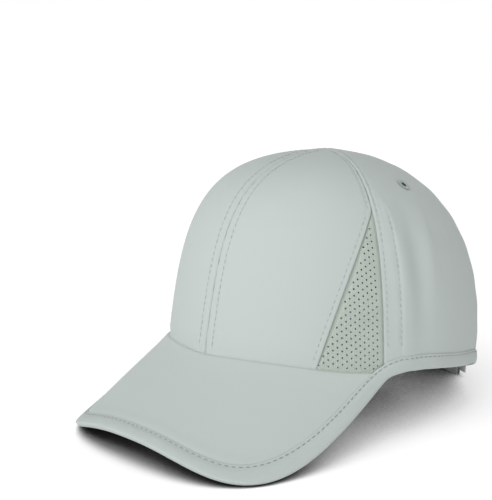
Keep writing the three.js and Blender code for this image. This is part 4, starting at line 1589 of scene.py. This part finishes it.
def opening_tape_stations(side):
    """One side of the opening's tape: up the tab's end if that is the outer one, then along the free edge."""
    angle, rise, inward = free_edge(side, 1.6)
    stretch = np.ones(len(angle))
    if side == RIGHT:
        up, around, _ = frame_at(side, TAB_END_ANGLE, TAB_TOP_RISE)
        sideways = -around / np.linalg.norm(around)
        corner = sideways - up / np.linalg.norm(up)
        corner /= np.linalg.norm(corner)
        foot_rise = float(rise_for(side, TAB_END_ANGLE, BAND_WIDTH - 0.4))
        count = 8
        end_rise = np.linspace(foot_rise, TAB_TOP_RISE - 0.004, count)
        angle = np.concatenate([np.full(count + 1, TAB_END_ANGLE), angle[2:]])
        rise = np.concatenate([end_rise, [TAB_TOP_RISE], rise[2:]])
        inward = np.concatenate([np.repeat(sideways[None], count, 0), corner[None], inward[2:]])
        stretch = np.concatenate([np.ones(count), [math.sqrt(2)], stretch[2:]])
    return tape_stations(opening_places(side, angle, rise, inward, stretch), 0.9, 4.0)


class CAP_OT_opening_binding(bpy.types.Operator):
    """Folds the binding round the opening and the tabs' ends"""

    bl_idname = "cap.opening_binding"
    bl_label = "Opening binding"

    def execute(self, context):
        right, across = opening_tape_stations(RIGHT)
        left, _ = opening_tape_stations(LEFT)
        top_inward = frame_at(LEFT, 180.0, OPENING_TOP_RISE)[0][None]
        top_inward = top_inward / np.linalg.norm(top_inward)
        at_top = opening_places(LEFT, np.array([180.0]), np.array([OPENING_TOP_RISE]), top_inward, 1.0)
        top, _ = tape_stations(at_top, 0.9, 4.0)
        stations = np.concatenate([right[:-1], top, left[:-1][::-1]])
        obj, flat = tape("opening_binding_tape", stations, across)
        tape_wall(obj, stations, len(right) // 2, (0, 1, 0.2))
        finish_piece(obj, ["opening_binding"])
        return {"FINISHED"}


# Inside, closure and tag


class CAP_OT_sweatband(bpy.types.Operator):
    """Sews the sweatband inside the hem"""

    bl_idname = "cap.sweatband"
    bl_label = "Sweatband"

    def execute(self, context):
        turned = np.linspace(-SWEATBAND_END_ANGLE, SWEATBAND_END_ANGLE, 150)
        height = np.array(SWEATBAND_ROWS)
        swell = np.interp(height, *zip(*SWEATBAND_SWELL))
        rows = []
        for value, out in zip(height, swell):
            left, right = (self.line(side, np.abs(turned), value, out) for side in (LEFT, RIGHT))
            rows.append(np.where((turned < 0)[:, None], right, left))
        points = np.stack(rows)
        flat = np.stack(np.meshgrid(np.radians(turned) * SWEATBAND_RADIUS, height), -1) / 1000
        obj = sheet_of("sweatband_knit", points, flat)
        probe = obj.data.polygons[len(obj.data.polygons) // 2]
        middle = to_row([[0, 0, 60]])[0]
        if Vector(probe.normal).dot(Vector(middle) - Vector(probe.center)) < 0:
            edit(obj, bpy.ops.mesh.flip_normals)
        paint_slots(obj, "inside")
        thicken(obj, 0.7, offset=-1)
        smooth(obj)
        finish_piece(obj, ["sweatband"])
        return {"FINISHED"}

    def line(self, side, angle, height, swell):
        """Points of the band on one side, at one height above the hem."""
        return skin(side, angle, rise_for(side, angle, height), -SWEATBAND_DEPTH - swell, creased=False)


def tab_grid(past, height, out):
    """Points that follow the outer tab: distances past the centre back, and heights up it."""
    past, height = np.meshgrid(past, height)
    angle = 180 + np.degrees(np.arcsin(past / HEAD_BACK))
    rise = rise_for(RIGHT, angle, height)
    return skin(RIGHT, angle, rise, out, creased=False), np.stack([past, height], -1) / 1000


class CAP_OT_closure(bpy.types.Operator):
    """Sets the hook-and-loop patch between the tabs"""

    bl_idname = "cap.closure"
    bl_label = "Closure"

    def execute(self, context):
        points, flat = tab_grid(np.linspace(*PATCH_SPAN, 30), np.linspace(*PATCH_HEIGHTS, 8), -1.7)
        obj = sheet_of("closure_patch_tape", points, flat)
        face_out(obj, (0.1, 1, 0))
        paint_slots(obj, "hook")
        thicken(obj, 1.1)
        smooth(obj)
        finish_piece(obj, ["closure_patch"])
        return {"FINISHED"}


class CAP_OT_tag(bpy.types.Operator):
    """Folds the blank ribbon tag over the outer tab's end"""

    bl_idname = "cap.tag"
    bl_label = "Tag"

    def execute(self, context):
        height = np.linspace(*TAG_HEIGHTS, 23)
        leg = np.linspace(*TAG_SPAN, 12)
        past = np.concatenate([leg, [42.75, 42.9, 42.75], leg[::-1]])
        out = np.concatenate([np.full(12, 1.85), [1.8, 1.6, 1.4], np.full(12, 1.33)])
        curl = 0.1 * np.sin(height * 0.5)[:, None] * (past - TAG_SPAN[0]) / 9
        points, _ = tab_grid(past, height, out[None, :] + curl)
        run = np.concatenate([[0], np.cumsum(np.hypot(np.diff(past), np.diff(out)))])
        flat = np.stack(np.meshgrid(run, height - height[0]), -1) / 1000
        obj = sheet_of("side_tag_ribbon", points, flat)
        paint_slots(obj, "label")
        thicken(obj, 0.3, offset=0)
        smooth(obj, 50)
        finish_piece(obj, ["side_tag"])
        return {"FINISHED"}


class CAP_OT_eyelets(bpy.types.Operator):
    """Stitches the two eyelets"""

    bl_idname = "cap.eyelets"
    bl_label = "Eyelets"

    def execute(self, context):
        for name, side in (("left", LEFT), ("right", RIGHT)):
            centre = skin(side, EYELET_ANGLE, EYELET_RISE, 0.25)
            _, _, normal = frame_at(side, EYELET_ANGLE, EYELET_RISE)
            turn = Vector((0, 0, 1)).rotation_difference(Vector(normal)).to_matrix()
            axes = np.array(turn)
            stitches = []
            for i in range(EYELET_STITCHES):
                turned = 2 * math.pi * i / EYELET_STITCHES
                out = axes @ np.array([math.cos(turned), math.sin(turned), 0])
                middle = centre + out * EYELET_RADIUS + normal * 0.25
                stitches.append((middle, out, np.array(normal), 2.5, 0.78))
            obj = sew(f"eyelet_{name}_thread", stitches, "faint_thread")
            # A disc in the lining's dark colour stands for the uncut eyelet hole: partly the dark inside,
            # partly painted shade in the hole.
            deselect()
            bpy.ops.mesh.primitive_cylinder_add(
                vertices=24, radius=EYELET_HOLE, depth=0.5, end_fill_type="NGON"
            )
            hole = bpy.context.active_object
            place(hole, to_row(coordinates(hole) @ axes.T + centre - normal * 0.05))
            set_uv(hole, coordinates(hole)[:, :2])
            paint_slots(hole, "lining")
            obj = join(f"eyelet_{name}_thread", [obj, hole])
            finish_piece(obj, [f"eyelet_{name}"])
        return {"FINISHED"}


# Rows of stitches


def upright(angle):
    """A seam that keeps one angle at every rise."""
    return lambda rise: np.full_like(rise, float(angle))


def crown_row(side, seam, low, high, distance):
    """A row of stitches beside a seam of the crown, between two rises."""
    return stitch_row(*beside_seam(side, seam, np.linspace(low, high, 160), distance, 0.0))


def tape_line(stations, column):
    """The line of a tape that its stitches lie on, and the way off it."""
    line = stations[:, column]
    along = np.gradient(line, axis=0)
    across = stations[:, column + 1] - stations[:, column - 1]
    normal = np.cross(along, across)
    return line, normal / np.linalg.norm(normal, axis=-1, keepdims=True)


class CAP_OT_stitches(bpy.types.Operator):
    """Sews all the rows of stitches"""

    bl_idname = "cap.stitches"
    bl_label = "Stitches"

    def execute(self, context):
        crown = []
        faint = []
        for side in (LEFT, RIGHT):
            crown += crown_row(side, upright(0), 0.012, 0.965, CENTRE_ROW)
            crown += crown_row(side, upright(SIDE_SEAM_ANGLE), INSERT_RISE - 0.01, 0.97, -EDGE_ROW)
            crown += crown_row(side, upright(SIDE_SEAM_ANGLE), 0.05, 0.97, SIDE_ROW)
            crown += crown_row(side, insert_edge, 0.012, INSERT_RISE - 0.015, -EDGE_ROW)
            faint += crown_row(side, upright(PUCKERED_ROW_ANGLE), 0.05, 0.44, 0)
            crown += crown_row(side, upright(180), 0.735, 0.97, -BACK_ROW)
        obj = sew("crown_stitches", crown, "faint_thread")
        finish_piece(obj)
        finish_piece(sew("faint_stitches", faint, "faint_thread"))

        stations, _ = edge_tape_stations()
        line, normal = tape_line(stations, HEM_STITCH_COLUMN)
        normal *= np.sign((normal[len(line) // 2] * [0, -1, 2]).sum())
        rows = stitch_row(line + normal * 0.1, normal)
        finish_piece(sew("edge_binding_stitches", rows))

        rows = []
        for side in (RIGHT, LEFT):
            stations, _ = opening_tape_stations(side)
            line, normal = tape_line(stations, OPENING_STITCH_COLUMN)
            normal *= np.sign((normal[len(line) // 2] * [0, 1, 0.2]).sum())
            rows += stitch_row(line + normal * 0.1, normal, pitch=2.6, length=1.8, width=0.5)
        finish_piece(sew("opening_binding_stitches", rows, "faint_thread"))
        finish_piece(sew("tab_stitches", tab_rows(), "thread"))
        finish_piece(sew("sweatband_stitches", sweatband_rows(), "faint_thread"))
        return {"FINISHED"}


def tab_rows():
    """The box that holds the closure on the outer tab, with a narrow box at its end."""
    corners = [(28, 8.5), (26, 20.5), (-11, 25), (-13, 12), (28, 8.5)]
    rows = []
    for (x0, z0), (x1, z1) in zip(corners, corners[1:]):
        share = np.linspace(0, 1, 40)
        rows += tab_row(x0 + (x1 - x0) * share, z0 + (z1 - z0) * share)
    rows += tab_row(np.full(30, 22.5), np.linspace(9, 21, 30))
    return rows


def tab_row(past, height):
    angle = 180 + np.degrees(np.arcsin(past / HEAD_BACK))
    rise = rise_for(RIGHT, angle, height)
    return stitch_row(*crown_line(RIGHT, angle, rise, 0.12), pitch=2.4, length=1.8, width=0.5)


def sweatband_rows():
    rows = []
    for side in (LEFT, RIGHT):
        angle = np.linspace(1, SWEATBAND_END_ANGLE - 2, 140)
        rise = rise_for(side, angle, 39.3)
        _, _, normal = frame_at(side, angle, rise)
        points = skin(side, angle, rise, -2.25, creased=False)
        rows += stitch_row(points, -normal, pitch=3.6, length=2.6)
    return rows


# The stage


class CAP_OT_stage(bpy.types.Operator):
    """Sets the floor, the lights and the camera"""

    bl_idname = "cap.stage"
    bl_label = "Stage"

    def execute(self, context):
        stage = settings().stage
        self.floor(stage)
        context.scene.world = self.surroundings(stage)
        context.scene.view_settings.view_transform = "Standard"
        context.scene.view_settings.look = "None"
        self.sun("key", 0, 50, stage.key)
        self.sun("fill", 30, 25, stage.fill)
        self.camera()
        return {"FINISHED"}

    def floor(self, stage):
        """A white floor with a faint painted glow and a painted shadow where something stands close over it.
        """
        deselect()
        bpy.ops.mesh.primitive_plane_add(size=2 * stage.floor)
        floor = bpy.context.active_object
        floor.name = "floor"
        paint = Paint("floor", 0.9)
        shader = paint.shader
        shader.inputs["Specular IOR Level"].default_value = 0.0
        # The floor's openness darkens its glow and its paint: a painted contact shadow under the cap.
        open_share = paint.field(
            "ShaderNodeAmbientOcclusion", {"samples": 16}, {"Distance": SHADE_REACH}, output=1
        )
        glow = self.fade(paint, open_share, GLOW_SHADOW_FADE, (0.0, 1.0))
        shade = self.fade(paint, open_share, PAINTED_SHADOW_FADE, (SHADOWED_PAINT, OPEN_PAINT))
        paint.tree.links.new(glow.socket, shader.inputs["Emission Color"])
        shader.inputs["Emission Strength"].default_value = stage.glow
        paint.colour(shade)
        floor.data.materials.append(paint.material)

    def fade(self, paint, value, between, ends):
        """Runs smoothly from one end to the other while a value crosses a span."""
        return paint.field(
            "ShaderNodeMapRange",
            {"interpolation_type": "SMOOTHSTEP"},
            {
                "Value": value,
                "From Min": between[0],
                "From Max": between[1],
                "To Min": ends[0],
                "To Max": ends[1],
            },
        )

    def surroundings(self, stage):
        """A white wall all round, with a dim ceiling over it."""
        world = bpy.data.worlds.new("studio")
        world.use_nodes = True
        tree = world.node_tree
        way = tree.nodes.new("ShaderNodeTexCoord")
        parts = tree.nodes.new("ShaderNodeSeparateXYZ")
        fade = tree.nodes.new("ShaderNodeMapRange")
        fade.interpolation_type = "SMOOTHSTEP"
        fade.inputs["From Min"].default_value = math.sin(math.radians(WALL_TOP))
        fade.inputs["From Max"].default_value = math.sin(math.radians(CEILING_START))
        fade.inputs["To Min"].default_value = stage.backdrop
        fade.inputs["To Max"].default_value = stage.ceiling
        tree.links.new(way.outputs["Generated"], parts.inputs[0])
        tree.links.new(parts.outputs["Z"], fade.inputs["Value"])
        tree.links.new(fade.outputs[0], tree.nodes["Background"].inputs["Strength"])
        tree.nodes["Background"].inputs["Color"].default_value = (1, 1, 1, 1)
        return world

    def sun(self, name, turn, height, strength):
        light = bpy.data.lights.new(name, "SUN")
        light.energy = strength
        light.angle = math.radians(LIGHT_BREADTH)
        obj = bpy.data.objects.new(name, light)
        obj.rotation_euler = self.way_to(turn, height).to_track_quat("Z", "Y").to_euler()
        bpy.context.scene.collection.objects.link(obj)

    def camera(self):
        camera = bpy.data.cameras.new("camera")
        camera.lens = CAMERA_LENS
        camera.sensor_width = 36
        camera.sensor_fit = "AUTO"
        camera.clip_start = 0.01
        camera.clip_end = 60
        view = bpy.data.objects.new("camera", camera)
        bpy.context.scene.collection.objects.link(view)
        way = self.way_to(CAMERA_TURN, CAMERA_HEIGHT)
        view.location = Vector(to_row([CAMERA_AIM])[0]) + way * CAMERA_DISTANCE
        view.rotation_euler = way.to_track_quat("Z", "Y").to_euler()
        bpy.context.scene.camera = view

    def way_to(self, turn, height):
        """The way to a place, by its turn from the cap's front and its height above level, in degrees."""
        turn = math.radians(turn)
        height = math.radians(height)
        level = math.cos(height)
        return Vector((level * math.sin(turn), -level * math.cos(turn), math.sin(height)))


class CAP_PT_panel(bpy.types.Panel):
    """Lists the cap's pieces"""

    bl_idname = "CAP_PT_panel"
    bl_label = "Ponytail cap"
    bl_space_type = "VIEW_3D"
    bl_region_type = "UI"
    bl_category = "Cap"

    def draw(self, context):
        for operator in OPERATORS:
            self.layout.operator(operator.bl_idname)


OPERATORS = [
    CAP_OT_stage,
    CAP_OT_front_panels,
    CAP_OT_mesh_inserts,
    CAP_OT_back_panels,
    CAP_OT_peak,
    CAP_OT_edge_binding,
    CAP_OT_opening_binding,
    CAP_OT_sweatband,
    CAP_OT_closure,
    CAP_OT_tag,
    CAP_OT_eyelets,
    CAP_OT_stitches,
]
CLASSES = [CapCloth, CapThread, CapStage, CapSettings, *OPERATORS, CAP_PT_panel]


def register():
    for cls in CLASSES:
        bpy.utils.register_class(cls)
    bpy.types.Scene.cap = bpy.props.PointerProperty(type=CapSettings)


def unregister():
    del bpy.types.Scene.cap
    for cls in reversed(CLASSES):
        bpy.utils.unregister_class(cls)


def main():
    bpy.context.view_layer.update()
    register()
    mix_paints()
    bpy.ops.cap.stage()
    bpy.ops.cap.front_panels()
    bpy.ops.cap.mesh_inserts()
    bpy.ops.cap.back_panels()
    bpy.ops.cap.peak()
    bpy.ops.cap.edge_binding()
    bpy.ops.cap.opening_binding()
    bpy.ops.cap.sweatband()
    bpy.ops.cap.closure()
    bpy.ops.cap.tag()
    bpy.ops.cap.eyelets()
    bpy.ops.cap.stitches()


if __name__ == "__main__":
    main()
